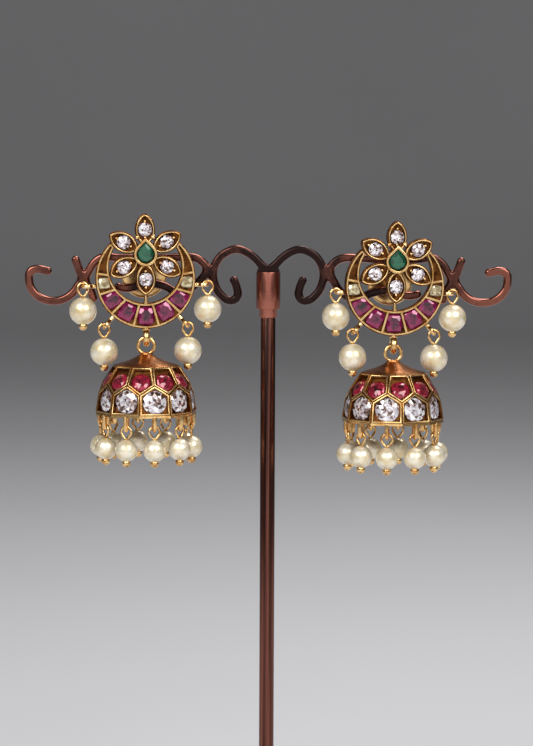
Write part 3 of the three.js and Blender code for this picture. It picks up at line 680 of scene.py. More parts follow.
def cast(bm, voxel, passes):
    """Melts overlapping forms into one skin and smooths where they meet."""
    mesh = bpy.data.meshes.new("cast")
    bm.to_mesh(mesh)
    holder = link("cast", mesh)
    melt = holder.modifiers.new("melt", "REMESH")
    melt.mode = "VOXEL"
    melt.voxel_size = voxel
    bpy.context.view_layer.update()
    melted = bpy.data.meshes.new_from_object(holder.evaluated_get(bpy.context.evaluated_depsgraph_get()))
    bm.clear()
    bm.from_mesh(melted)
    bpy.data.objects.remove(holder)
    bpy.data.meshes.remove(mesh)
    bpy.data.meshes.remove(melted)
    return smoothed(bm, passes)


def cut_stone(rings, width, height, crown, pavilion, rng, squareness=2, spread=1.0, edge=0.0):
    """A stone with its table towards +Z and its girdle at z = 0.

    The facets' values, which their colours come from, are random over a spread and grow by an
    edge towards the girdle. A squareness of 2 is round and a larger one is squarer.
    """
    bm = bmesh.new()
    for share, rise, corners, turn in rings:
        for i in range(corners):
            angle = 2 * math.pi * (i + turn) / corners
            across, up = math.cos(angle), math.sin(angle)
            reach = share / (abs(across) ** squareness + abs(up) ** squareness) ** (1 / squareness)
            bm.verts.new((across * reach * width / 2, up * reach * height / 2, rise * crown))
    bm.verts.new((0, 0, -pavilion))
    hull = bmesh.ops.convex_hull(bm, input=bm.verts)
    spare = set(of_kind(hull["geom_interior"] + hull["geom_unused"], bmesh.types.BMVert))
    bmesh.ops.delete(bm, geom=list(spare), context="VERTS")
    bmesh.ops.recalc_face_normals(bm, faces=bm.faces)
    facet = bm.faces.layers.float.new("facet")
    for face in bm.faces:
        middle = face.calc_center_median()
        out = math.hypot(middle.x / width, middle.y / height) * 2
        face[facet] = (1 - edge) * (0.5 + spread * (rng.random() - 0.5)) + edge * out
    return bm


def in_scene(name, bm, place, materials):
    """Makes a form an object, laid in the frame at its place."""
    bm.transform(Matrix.Scale(MM, 4) @ place)
    mesh = bpy.data.meshes.new(name)
    bm.to_mesh(mesh)
    bm.free()
    for material in materials:
        mesh.materials.append(material)
    return link(name, mesh)


def finished(name, bm, body, materials, place, replaces=(), smooth=40):
    """Makes a form a piece of the object that rides on its body.

    Edges sharper than smooth, in degrees, stay sharp, and 0 leaves every facet flat.
    """
    piece = in_scene(name, bm, place, materials)
    if smooth:
        piece.data.shade_smooth()
        piece.data.set_sharp_from_angle(angle=math.radians(smooth))
    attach(piece, body)
    if replaces:
        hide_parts(*replaces)
    return piece


# Places


def loop_centre():
    """The middle of the crescent's lower loop, over the crescent's own centre."""
    stud = settings("stud")
    return -stud.radius - stud.loop_diameter / 2


def hanging_place(side):
    """Where a bell hangs: its joint's own point, turned as the earring is."""
    joint = next(j for j in frame["joints"] if j["child"] == f"{side}_bell")
    turn = math.atan2(joint["axis"][1], joint["axis"][0])
    return Matrix.Translation(Vector(joint["pos_m"]) / MM) @ rotate(turn, "Z")


def stud_place(side):
    """The crescent's centre: straight up the leaning stud from the bell's joint."""
    lean = rotate(math.radians(HANGS[side].lean), "Y")
    return hanging_place(side) @ lean @ move(0, 0, -loop_centre())


# Stand

# Scrolls of the right half, as (outwards, up) from the middle of the collar's top, in shares of
# half the arm's span, chosen to follow the bends. The left half mirrors them.
KNOT = (0.245, 0.002)  # where the arch, its curl, the upper bar and the cradle meet
OUTER_KNOT = (0.758, -0.036)
ARCH = (
    (0.015, 0.019), (0.031, 0.031), (0.054, 0.055), (0.098, 0.084), (0.131, 0.092), (0.174, 0.078),
    (0.206, 0.05), (0.2265, -0.004), (0.222, -0.043), (0.199, -0.09), (0.15, -0.119), (0.127, -0.103),
    (0.129, -0.066), (0.141, -0.035),
)
UPPER_BAR = (
    KNOT, (0.268, 0.037), (0.3, 0.056), (0.37, 0.057), (0.486, 0.053), (0.608, 0.054), (0.69, 0.053),
    OUTER_KNOT, (0.778, -0.057), (0.804, -0.092), (0.844, -0.117), (0.886, -0.123), (0.935, -0.11),
    (0.97, -0.075), (0.981, -0.036), (0.977, -0.005), (0.957, 0.007), (0.904, 0),
)
SPIKE = ((0.79, 0.046), (0.778, 0.012), OUTER_KNOT, (0.733, -0.069), (0.717, -0.112))
# The cradle bends up to the earring's post: (outwards, up) from the point under the post, in
# shares of the crescent's radius.
CRADLE = (
    (0.92, -0.1), (0.63, -0.16), (0.41, -0.055), (0.16, 0), (-0.02, -0.002), (-0.17, -0.06),
    (-0.38, -0.1), (-0.53, -0.075),
)

POLE_SLACK = 0.1  # between the pole and what it stands in

# How much more copper is painted on the arm's edges than on its flats, partly wiped copper and partly a
# painted highlight, and at its ends than at its middle.
EDGE_WEAR_AND_HIGHLIGHT = 0.26
END_LIGHTENING = 0.22


def scroll_arm():
    """Both halves of the arm as one casting, its crossings filled and rounded."""
    stand = settings("stand")
    stud = settings("stud")
    gap = settings("drops").link_gap
    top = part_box("stand_collar")[1].z / MM
    half = stand.arm_span / 2
    bm = bmesh.new()
    for side, sign in zip(SIDES, (-1, 1)):
        for shares in (ARCH, UPPER_BAR, SPIKE):
            points = [(sign * out * half, 0, top + up * half) for out, up in shares]
            add_form(bm, wire(points, stand.arm_rod))
            for end in (points[0], points[-1]):
                add_form(bm, ball(stand.arm_rod), Matrix.Translation(end))
        post = stud_place(side) @ Vector((0, 0, stud.post_rise))
        across = abs(post.x - math.tan(hanging_place(side).to_euler().z) * -post.y)
        seat = post.z - stud.post_diameter / 2 - 2 * gap - stand.arm_rod / 2
        knot = (sign * KNOT[0] * half, 0, top + KNOT[1] * half)
        cradle = [
            (sign * (across - out * stud.radius), 0, seat + up * stud.radius) for out, up in CRADLE
        ]
        add_form(bm, wire([knot, *cradle], stand.arm_rod))
        add_form(bm, ball(stand.arm_rod), Matrix.Translation(cradle[-1]))
        for out, up in (KNOT, OUTER_KNOT):
            flat = Matrix.Diagonal((1, stand.arm_rod / 2 / stand.web, 1, 1))
            add_form(bm, ball(2 * stand.web), move(sign * out * half, 0, top + up * half) @ flat)
    collar = stand.collar_diameter / 2
    cap = [(0, 0), (collar, 0), (collar, 0.2), (collar * 0.8, 0.7), (0, 1.1)]
    add_form(bm, spun(cap, 48), move(0, 0, top))
    bm = cast(bm, voxel=0.14, passes=10)
    for vert in bm.verts:
        vert.co.y = max(-stand.arm_flat, min(stand.arm_flat, vert.co.y))
    smoothed(bm, 4)
    bm.normal_update()
    # Painted highlight with wiped copper: lighter where the surface turns away from the front, and lighter
    # towards the arm's ends.
    lightening = bm.verts.layers.float.new("lightening")
    for vert in bm.verts:
        vert[lightening] = EDGE_WEAR_AND_HIGHLIGHT * (1 - abs(vert.normal.y)) - END_LIGHTENING * (1 - abs(vert.co.x) / half)
    return bm


class JHUMKA_OT_arm(Operator):
    """Builds the scroll arm that the earrings hang on"""

    bl_idname = "jhumka.arm"
    bl_label = "Scroll arm"

    def execute(self, context):
        finished(
            "scroll_arm", scroll_arm(), STAND, [antique_copper()], Matrix(), ["stand_arm"],
            smooth=60,
        )
        return {"FINISHED"}


class JHUMKA_OT_foot(Operator):
    """Builds the round weighted foot"""

    bl_idname = "jhumka.foot"
    bl_label = "Foot"

    def execute(self, context):
        stand = settings("stand")
        radius, boss = stand.foot_diameter / 2, stand.boss_diameter / 2
        bore = stand.pole_diameter / 2 + POLE_SLACK
        slope = stand.foot_edge + stand.foot_rise
        top = slope + stand.boss_height
        step = radius * 0.86  # the turned step round the foot's top
        profile = [
            (0, 0), (radius - 0.6, 0), (radius, 0.6),
            *arc(0.9, (radius - 0.9, stand.foot_edge - 0.9), 90, 180, 5),
            (step, stand.foot_edge + 0.15), (step - 0.5, stand.foot_edge + 0.75),
            (boss + 5, slope - 1), (boss + 1.6, slope - 0.35), (boss, slope + 0.8),
            *arc(0.7, (boss - 0.7, top - 0.7), 90, 180, 5),
            (bore, top), (bore, top - 2), (0, top - 2),
        ]
        bm = soften(spun(profile, 128), 0.25, angle=25)
        finished("round_foot", bm, STAND, [antique_copper()], Matrix(), ["stand_foot"])
        return {"FINISHED"}


class JHUMKA_OT_pole(Operator):
    """Builds the pole, its ring and its collar"""

    bl_idname = "jhumka.pole"
    bl_label = "Pole and collar"

    def execute(self, context):
        stand = settings("stand")
        foot, top = (corner.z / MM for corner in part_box("stand_pole"))
        radius = stand.pole_diameter / 2
        pole = soften(spun([(0, foot), (radius, foot), (radius, top), (0, top)]), 0.15)
        finished("drawn_pole", pole, STAND, [drawn_copper()], Matrix(), ["stand_pole"])
        low, high = (corner.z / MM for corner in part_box("stand_collar"))
        outer, neck, bore = stand.collar_diameter / 2, stand.neck_diameter / 2, radius + POLE_SLACK
        step = high - stand.collar_length
        collar = spun([
            (bore, low), (neck, low), (neck, step), (outer, step), (outer, high), (bore, high), (bore, low),
        ])
        soften(collar, 0.22, segments=3)
        finished(
            "turned_collar", collar, STAND, [turned_copper()], Matrix(), ["stand_collar"]
        )
        return {"FINISHED"}


# Studs


def crescent_reach(stud, angle):
    """From the crescent's centre to the edge of its opening, at an angle from straight down."""
    foot, horn = stud.radius - stud.foot_width, stud.radius - stud.horn_width
    rise = (horn**2 - foot**2) / (2 * (foot - horn * math.cos(stud.horn_angle)))
    return math.sqrt((foot + rise) ** 2 - (rise * math.sin(angle)) ** 2) - rise * math.cos(angle)


# Where the right half's cells begin and end, in degrees from straight down; the first is the
# middle one, and the last runs to the horn's tip. The others are mirrored.
CELL_EDGES = (15, 45, 72, 97)
RUBY_CELLS = ((-15, 15), (15, 45), (45, 72))
PALE_CELL = (72, 97)


def crescent(stud):
    """The crescent's tray: rims and bars in the gold, cells sunk and dark."""
    horn = math.degrees(stud.horn_angle)
    stops = [-horn, *(-edge for edge in reversed(CELL_EDGES)), *CELL_EDGES, horn]
    angles = [stops[0]]
    for start, end in zip(stops, stops[1:]):
        steps = max(4, round((end - start) / 3))
        angles += [start + (end - start) * (i + 1) / steps for i in range(steps)]
    inner, outer = [], []
    for angle in map(math.radians, angles):
        reach = crescent_reach(stud, angle)
        inner.append((math.sin(angle) * reach, -math.cos(angle) * reach))
        outer.append((math.sin(angle) * stud.radius, -math.cos(angle) * stud.radius))
    bm = bmesh.new()
    bmesh.ops.bridge_loops(bm, edges=chain(bm, inner) + chain(bm, outer))
    bmesh.ops.recalc_face_normals(bm, faces=bm.faces)
    if bm.faces[:][0].normal.y > 0:
        bmesh.ops.reverse_faces(bm, faces=bm.faces)
    cells = {}
    for face in bm.faces:
        middle = face.calc_center_median()
        angle = math.degrees(math.atan2(middle.x, -middle.z))
        cells.setdefault(sum(angle > stop for stop in stops), []).append(face)
    stepped(bm, stud.ledge, stud.ledge_drop)
    inset(bm, [face for faces in cells.values() for face in faces], stud.edge)
    for faces in cells.values():
        sunk(bm, faces, stud.rim, stud.cell_depth, 1)
    bm.transform(move(0, stud.ledge_drop, 0))
    backed(bm, stud.front + stud.back - stud.ledge_drop)
    soften(bm, 0.09, angle=50, segments=3)
    bm.transform(move(0, -stud.front, 0))
    return bm


def petal_outline(stud, steps=28):
    """An oval along X about its middle that narrows to small round tips."""
    long, wide = (stud.petal_tip - stud.petal_root) / 2, stud.petal_width / 2
    points = []
    for i in range(steps):
        angle = 2 * math.pi * i / steps
        narrow = abs(math.sin(angle)) ** (stud.petal_point - 1)
        points.append((math.cos(angle) * long, math.sin(angle) * narrow * wide))
    return points


def drop_outline(stud, inset=0, steps=30):
    """The bezel's outline, a drop with its point up, centred on its own height."""
    radius = stud.bezel_width / 2 - inset
    height = stud.bezel_height - 2.4 * inset
    rise = height / 2 - radius
    shoulder = math.asin(radius / (height - radius))
    points = [(0, height / 2)]
    for i in range(steps + 1):
        angle = math.pi - shoulder + (math.pi + 2 * shoulder) * i / steps
        points.append((math.cos(angle) * radius, math.sin(angle) * radius - rise))
    return points


def petal_place(stud, number, front):
    """Petal number 0 points straight up, and the next ones follow to the left."""
    angle = math.pi / 2 + math.pi / 3 * number
    out = move((stud.petal_tip + stud.petal_root) / 2, 0, 0)
    return move(0, -front, stud.flower_rise) @ rotate(-angle, "Y") @ out


def peg_hook(stud, at, down, reach, mirror):
    """The middle of a peg's outermost wire, which a pearl's eye hooks over."""
    x = math.sin(at) * stud.radius + math.cos(down) * reach
    return Vector((mirror * x, 0, -math.cos(at) * stud.radius - math.sin(down) * reach))


def pegs(side):
    """Each peg's place on the crescent's edge, its direction below level and its length."""
    hang = HANGS[side]
    return {
        "upper": (math.radians(82), 0, hang.upper_reach),
        "lower": (math.radians(41), math.radians(49), hang.lower_reach),
    }


def peg(stud, drops, at, down, reach, mirror):
    """A wire bent back on itself, closed at the crescent and opened into a loop at its end."""
    half = [
        (-stud.rim, drops.peg_wire / 6), (reach - 2 * drops.peg_loop, drops.peg_wire / 4),
        (reach - drops.peg_loop, drops.peg_loop),
    ]
    points = [(out, side, 0) for out, side in half] + [(reach, 0, 0)]
    points += [(out, -side, 0) for out, side in reversed(half)]
    base = move(mirror * math.sin(at) * stud.radius, 0, -math.cos(at) * stud.radius)
    turn = down if mirror > 0 else math.pi - down
    form = wire(points, drops.peg_wire, steps=6)
    form.transform(base @ rotate(turn, "Y"))
    return form


class JHUMKA_OT_studs(Operator):
    """Builds both crescents and flowers with their settings, pegs, posts and loops"""

    bl_idname = "jhumka.studs"
    bl_label = "Studs"

    def execute(self, context):
        stud = settings("stud")
        drops = settings("drops")
        gold = [antique_gold_plate(), oxidised_gold()]
        for side in SIDES:
            place = stud_place(side)
            bm = crescent(stud)
            for at, down, reach in pegs(side).values():
                for mirror in (-1, 1):
                    add_form(bm, peg(stud, drops, at, down, reach, mirror))
            loop = ring(stud.loop_diameter, stud.loop_wire)
            add_form(bm, loop, move(0, 0, loop_centre()) @ rotate(math.pi / 2, "Z"))
            add_form(bm, ball(stud.loop_wire * 1.25), move(0, 0, -stud.radius - 0.1))
            thick = stud.post_diameter / 2
            post = spun([(0, 0), (thick, 0), (thick, stud.post_length), (0, stud.post_length)], 24)
            root = move(0, -stud.petal_back - stud.petal_wall, stud.post_rise)
            add_form(bm, soften(post, 0.2), root @ rotate(-math.pi / 2, "X"))
            finished(f"{side}_crescent", bm, STAND, gold, place, [f"{side}_stud_frame"])
            finished(f"{side}_flower", self.flower(stud), STAND, gold, place)
        return {"FINISHED"}

    def flower(self, stud):
        """Six petal settings, the bezel, the stay and the small gold granules."""
        bm = bmesh.new()
        thickness = stud.petal_front - stud.petal_back
        for number in range(6):
            petal = tray(petal_outline(stud), stud.ledge, stud.petal_wall, stud.petal_bowl, thickness)
            soften(petal, 0.09, angle=50, segments=3)
            add_form(bm, petal, petal_place(stud, number, stud.petal_front))
            in_bowl = petal_place(stud, number, stud.petal_front - stud.petal_bowl * 0.45)
            for sign in (-1, 1):
                beside = sign * (stud.petal_stone / 2 + stud.grain * 0.4)
                add_form(bm, ball(stud.grain, 2), in_bowl @ move(beside, 0, 0))
        thickness = stud.bezel_front - stud.petal_back
        bezel = tray(drop_outline(stud), stud.ledge / 2, stud.bezel_wall, stud.bezel_cup, thickness)
        centre = stud.flower_rise + stud.bezel_rise
        add_form(bm, soften(bezel, 0.1, angle=50), move(0, -stud.bezel_front, centre))
        for sign in (-1, 1):
            granule = move(sign * 1.4, -stud.petal_front + 0.3, stud.flower_rise + 3.1)
            add_form(bm, ball(stud.granule), granule)
        top = stud.flower_rise - stud.petal_tip + 2 * stud.petal_wall
        foot = stud.foot_width - stud.radius - stud.rim / 2
        stay = spun([
            (0, top), (stud.stay_width * 0.4, top), (stud.stay_width * 0.42, (top + foot) / 2),
            (stud.stay_width * 0.62, foot), (0, foot),
        ], 24)
        return add_form(bm, soften(stay, 0.1), move(0, -stud.front * 0.8, 0))


class JHUMKA_OT_stones(Operator):
    """Cuts the studs' stones and sets them"""

    bl_idname = "jhumka.stones"
    bl_label = "Stud stones"

    def execute(self, context):
        stud = settings("stud")
        for number, side in enumerate(SIDES):
            rng = random.Random(11 + number)
            place = stud_place(side)
            rubies, pale = bmesh.new(), bmesh.new()
            for cell in RUBY_CELLS:
                for sign in (1,) if cell[0] < 0 else (-1, 1):
                    self.set_in_cell(rubies, stud, cell, sign, stud.ruby, rng)
            for sign in (-1, 1):
                self.set_in_cell(pale, stud, PALE_CELL, sign, stud.pale_stone, rng)
            finished(f"{side}_rubies", rubies, STAND, [ruby_glass()], place, smooth=0)
            finished(
                f"{side}_pale_stones", pale, STAND, [pale_crystal()], place, smooth=0
            )
            girdle = stud.petal_front - stud.petal_bowl * 0.42
            width, pavilion = stud.petal_stone, stud.petal_bowl * 0.5
            for petal in range(6):
                stone = cut_stone(BRILLIANT, width, width, 0.34, pavilion, rng)
                finished(
                    f"{side}_petal_brilliant_{petal + 1}", stone, STAND, [white_zircon()],
                    place @ petal_place(stud, petal, girdle) @ rotate(math.pi / 2, "X"),
                    [f"{side}_petal_stone_{petal + 1}"], smooth=0,
                )
            finished(
                f"{side}_emerald_drop", self.emerald(stud, rng), STAND, [emerald_glass()], place,
                [f"{side}_emerald"], smooth=0,
            )
        return {"FINISHED"}

    def set_in_cell(self, bm, stud, cell, sign, width, rng):
        """Sets a cushion-cut stone in the middle of a crescent cell."""
        angle = sign * math.radians(sum(cell) / 2)
        reach = crescent_reach(stud, angle)
        room = stud.radius - reach - 2 * stud.rim - 0.1
        height = min(room, width * 1.12)
        stone = cut_stone(
            CUSHION, min(width, room), height, 0.34, stud.cell_depth * 0.55, rng, squareness=4, spread=0.5,
            edge=0.6,
        )
        middle = (stud.radius + reach) / 2
        girdle = stud.front - stud.cell_depth * 0.5
        spot = move(math.sin(angle) * middle, -girdle, -math.cos(angle) * middle)
        add_form(bm, stone, spot @ rotate(-angle, "Y") @ rotate(math.pi / 2, "X"))

    def emerald(self, stud, rng):
        """A drop-shaped stone with a broad table and two rows of facets round it."""
        bm = sheet(drop_outline(stud, stud.bezel_wall + stud.ledge / 2 + 0.06, 14))
        facet = bm.faces.layers.float.new("facet")
        table = bm.faces[:]
        for width, rise in ((0.3, 0.3), (0.42, 0.1)):
            bmesh.ops.inset_individual(bm, faces=table, thickness=width, depth=rise, use_even_offset=True)
        backed(bm, stud.bezel_cup * 0.5)
        for face in bm.faces:
            face[facet] = 0.25 + 0.55 * rng.random()
        table[0][facet] = 0.6
        bm.transform(move(0, -stud.bezel_front + stud.bezel_cup * 0.35, stud.flower_rise + stud.bezel_rise))
        return bm


class JHUMKA_OT_clutches(Operator):
    """Builds the round clutches behind the arm"""

    bl_idname = "jhumka.clutches"
    bl_label = "Clutches"

    def execute(self, context):
        stud = settings("stud")
        for side in SIDES:
            place = stud_place(side)
            low, high = (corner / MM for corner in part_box(f"{side}_clutch"))
            front = (place.inverted() @ ((low + high) / 2)).y - stud.clutch_length / 2
            rim, barrel, end = stud.clutch_diameter / 2, stud.clutch_barrel / 2, stud.clutch_length
            bore = stud.post_diameter / 2 + 0.12
            profile = [
                (bore, 0.25), (1.2, 0.25), (rim - 0.9, 0), *arc(0.25, (rim - 0.25, 0.25), 0, 180, 8),
                (2.2, 0.75), (barrel, 1.2), (barrel, end - 0.3),
                *arc(0.3, (barrel - 0.3, end - 0.3), 90, 180, 4), (bore, end), (bore, 0.25),
            ]
            bm = soften(spun(profile, 72), 0.06, angle=35)
            on_post = place @ move(0, front, stud.post_rise) @ rotate(-math.pi / 2, "X")
            finished(
                f"{side}_round_clutch", bm, STAND, [antique_gold_plate()], on_post, [f"{side}_clutch"],
            )
        return {"FINISHED"}


# Pearls

# The closed eye at the top of a pin, a drop with its round end up: shares of the eye's half
# width, and of its height from the top.
EYE = ((0, 0), (0.74, 0.13), (1, 0.42), (0.62, 0.76), (0.16, 0.97))


def pin(drops, hook_wire, eye_height, pearl):
    """The pin through a pearl: eye, stem and ball, hung from a hook's wire at z = 0."""
    top = hook_wire / 2 + drops.link_gap + drops.pin_wire / 2
    half, tall = (drops.eye_width - drops.pin_wire) / 2, eye_height - drops.pin_wire
    right = [(x * half, 0, top - z * tall) for x, z in EYE]
    left = [(-x, y, z) for x, y, z in reversed(right[1:])]
    bm = wire(right + left, drops.pin_wire, joined=True, steps=6)
    peak = pearl_top(drops, hook_wire, eye_height)
    stem = [(0, 0, peak + 0.25), (0, 0, peak - pearl / 2), (0, 0, peak - pearl)]
    add_form(bm, wire(stem, drops.pin_wire, steps=2))
    return add_form(bm, ball(drops.ball), move(0, 0, peak - pearl - drops.ball_shows))


def pearl_top(drops, hook_wire, eye_height):
    """How high the pearl's top is over the middle of its hook's wire."""
    return hook_wire / 2 + drops.link_gap + drops.pin_wire - eye_height + drops.pin_wire / 3


def bead(drops, hook_wire, eye_height, pearl):
    """A drilled pearl, its coating rounded into the hole at both ends."""
    radius = pearl / 2
    hole = 0.3
    start = math.degrees(math.asin(hole * 1.4 / radius))
    profile = [(0, -radius + 0.5), (hole, -radius + 0.4), (hole, -radius + 0.12)]
    profile += arc(radius, (0, 0), start, 180 - start, 22)
    profile += [(hole, radius - 0.12), (hole, radius - 0.4), (0, radius - 0.5)]
    bm = spun(profile, 40)
    bm.transform(move(0, 0, pearl_top(drops, hook_wire, eye_height) - radius))
    return bm


def hang_drop(name, node, body, place, drops, hook_wire, eye_height, pearl):
    """Makes one pearl and its pin where their node is."""
    finished(
        f"{name}_bead", bead(drops, hook_wire, eye_height, pearl), body, [imitation_pearl()], place, [node],
        smooth=60,
    )
    finished(
        f"{name}_pin", pin(drops, hook_wire, eye_height, pearl), body, [antique_gold_plate()], place,
        smooth=60,
    )


class JHUMKA_OT_stud_pearls(Operator):
    """Hangs the four larger pearls from each stud's pegs"""

    bl_idname = "jhumka.stud_pearls"
    bl_label = "Upper pearls"

    def execute(self, context):
        stud = settings("stud")
        drops = settings("drops")
        for side in SIDES:
            turn = hanging_place(side).to_3x3().to_4x4()
            for row, (at, down, reach) in pegs(side).items():
                for mirror, hand in ((-1, "left"), (1, "right")):
                    hook = stud_place(side) @ peg_hook(stud, at, down, reach, mirror)
                    hang_drop(
                        f"{side}_{row}_{hand}", f"{side}_pearl_{row}_{hand}", STAND,
                        Matrix.Translation(hook) @ turn, drops, drops.peg_wire, drops.stud_eye,
                        drops.stud_pearl,
                    )
        return {"FINISHED"}


class JHUMKA_OT_fringe(Operator):
    """Hangs the ten smaller pearls from each bell's loops"""

    bl_idname = "jhumka.fringe"
    bl_label = "Fringe pearls"

    def execute(self, context):
        bell = settings("bell")
        drops = settings("drops")
        for side in SIDES:
            for number in range(bell.sides):
                place = bell_place(side, bell) @ rim_place(bell, number) @ move(0, 0, -bell.loop_drop)
                hang_drop(
                    f"{side}_fringe_{number + 1}", f"{side}_fringe_pearl_{number + 1}", f"{side}_bell",
                    place, drops, bell.loop_wire, drops.bell_eye, drops.bell_pearl,
                )
        return {"FINISHED"}


# Bells


def ring_drop(bell):
    """From the middle of the ring's wire at its top to that at its foot."""
    return bell.ring_diameter - bell.ring_wire


def bell_place(side, bell):
    """The middle of the bell's rim, turned as its cells are."""
    drop = ring_drop(bell) + bell.roof_rise + bell.height
    turn = rotate(math.radians(HANGS[side].bell_turn), "Z")
    return hanging_place(side) @ move(0, 0, -drop) @ turn


def rim_place(bell, number):
    """In the middle of the rim's wall, under the middle of a lower cell."""
    azimuth = (number + 0.5) * 2 * math.pi / bell.sides
    radius = (bell.radius - bell.wall / 2) * math.cos(math.pi / bell.sides)
    return rotate(azimuth, "Z") @ move(0, -radius, 0)


def lower_radius(bell, height):
    return bell.radius - bell.lower_slope * height


def upper_radius(bell, height):
    return bell.shoulder + bell.upper_slope * (bell.height - height)


def zigzag(bell):
    """Where the two rows meet: low at a lower cell's corners and high over its middle."""
    flat = math.cos(math.pi / bell.sides)
    reach = bell.shoulder + bell.upper_slope * bell.height
    low = (reach * flat - bell.radius) / (bell.upper_slope * flat - bell.lower_slope)
    high = (reach - bell.radius * flat) / (bell.upper_slope - bell.lower_slope * flat)
    return low, high


def on_bell(radius, height, slope, azimuth):
    """Stands a thing that faces +Z on the bell's side, leaning back as that side does."""
    tilt = math.atan(slope)
    upright = rotate(math.pi / 2 - tilt, "X")
    return rotate(azimuth, "Z") @ move(0, -radius, height) @ upright


GOLD, DARK, ROOF = 0, 1, 2
LOWER_CELL, UPPER_CELL = 3, 4  # marks on the faces that become cells


def bell_shell(bell):
    """The bell's outer skin: one sector's faces, turned round the axis and welded."""
    half = math.pi / bell.sides
    low, high = zigzag(bell)
    bm = bmesh.new()

    def corner(radius, height, steps):
        return bm.verts.new((math.sin(steps * half) * radius, -math.cos(steps * half) * radius, height))

    foot = [corner(bell.radius, 0, steps) for steps in (0, 2)]
    band = [corner(lower_radius(bell, bell.band), bell.band, steps) for steps in (0, 2)]
    side = [corner(lower_radius(bell, low), low, steps) for steps in (0, 2)]
    left, right = [corner(upper_radius(bell, high), high, steps) for steps in (-1, 1)]
    edge = [corner(bell.shoulder, bell.height, steps) for steps in (-1, 1)]
    neck = bell.neck_width / 2
    # The roof curves in from its edge to the neck.
    rows = [
        (bell.shoulder * 0.965, bell.height + 0.12),
        (bell.shoulder * 0.6, bell.height + bell.roof_rise * 0.37),
        (neck * 1.7, bell.height + bell.roof_rise * 0.72),
        (neck, bell.height + bell.roof_rise * 0.98),
        (neck * 0.92, bell.height + bell.roof_rise + 0.25),
    ]
    marked = [
        (GOLD, [*foot, band[1], band[0]]), (LOWER_CELL, [*band, side[1], right, side[0]]),
        (UPPER_CELL, [side[0], right, edge[1], edge[0], left]),
    ]
    below = edge
    for radius, height in rows:
        above = [corner(radius, height, steps) for steps in (-1, 1)]
        marked.append((ROOF, [*below, above[1], above[0]]))
        below = above
    for mark, verts in marked:
        bm.faces.new(verts).material_index = mark
    bmesh.ops.spin(
        bm, geom=bm.verts[:] + bm.edges[:] + bm.faces[:], cent=(0, 0, 0), axis=(0, 0, 1),
        angle=2 * math.pi * (bell.sides - 1) / bell.sides, steps=bell.sides - 1, use_duplicate=True,
    )
    bmesh.ops.remove_doubles(bm, verts=bm.verts, dist=WELD * 10)
    top = max(v.co.z for v in bm.verts)
    rim = [e for e in bm.edges if e.is_boundary and e.verts[0].co.z > top - WELD]
    bmesh.ops.contextual_create(bm, geom=rim)
    bmesh.ops.recalc_face_normals(bm, faces=bm.faces)
    return bm


def hollow_out(bm, bell):
    """Turns the rim in and up, so that the bell has a wall and an open inside."""
    low, _ = zigzag(bell)
    rows = [
        (bell.radius - bell.wall, 0), (lower_radius(bell, low) - bell.wall, low),
        (bell.shoulder - bell.wall, bell.height - bell.wall),
        (bell.shoulder * 0.4, bell.height - bell.wall * 0.5),
    ]
    edges = [e for e in bm.edges if e.is_boundary]
    radius = bell.radius
    for inner, height in rows:
        moved = bmesh.ops.extrude_edge_only(bm, edges=edges)["geom"]
        verts = of_kind(moved, bmesh.types.BMVert)
        scale = inner / radius
        bmesh.ops.scale(bm, verts=verts, vec=(scale, scale, 1))
        for vert in verts:
            vert.co.z = height
        edges = of_kind(moved, bmesh.types.BMEdge)
        radius = inner
        for face in of_kind(moved, bmesh.types.BMFace):
            face.material_index = DARK if height else GOLD
    fill = bmesh.ops.contextual_create(bm, geom=edges)
    for face in fill["faces"]:
        face.material_index = DARK


def frame_cells(bm, bell):
    """Gives each cell its groove, its raised rim and its sunk floor, and rounds the rims."""
    rims = []
    for cell in [f for f in bm.faces if f.material_index in (LOWER_CELL, UPPER_CELL)]:
        cell.material_index = DARK
        steps = [
            (bell.groove, 0), (UPRIGHT, bell.rim_rise), (bell.rim, 0), (UPRIGHT, -bell.cell_depth / 2),
            (bell.groove, 0), (bell.seat, 0), (UPRIGHT, -bell.cell_depth / 2),
        ]
        for number, (width, rise) in enumerate(steps):
            made = bmesh.ops.inset_individual(
                bm, faces=[cell], thickness=width, depth=rise, use_even_offset=True
            )
            if number == 2:
                rims += made["faces"]
    for face in rims:
        face.material_index = GOLD
    kept = set(rims)
    edges = {e for f in rims for e in f.edges if not all(other in kept for other in e.link_faces)}
    bmesh.ops.bevel(
        bm, geom=list(edges), offset=0.1, offset_type="OFFSET", segments=3, profile=0.5, affect="EDGES",
        clamp_overlap=True, material=-1,
    )


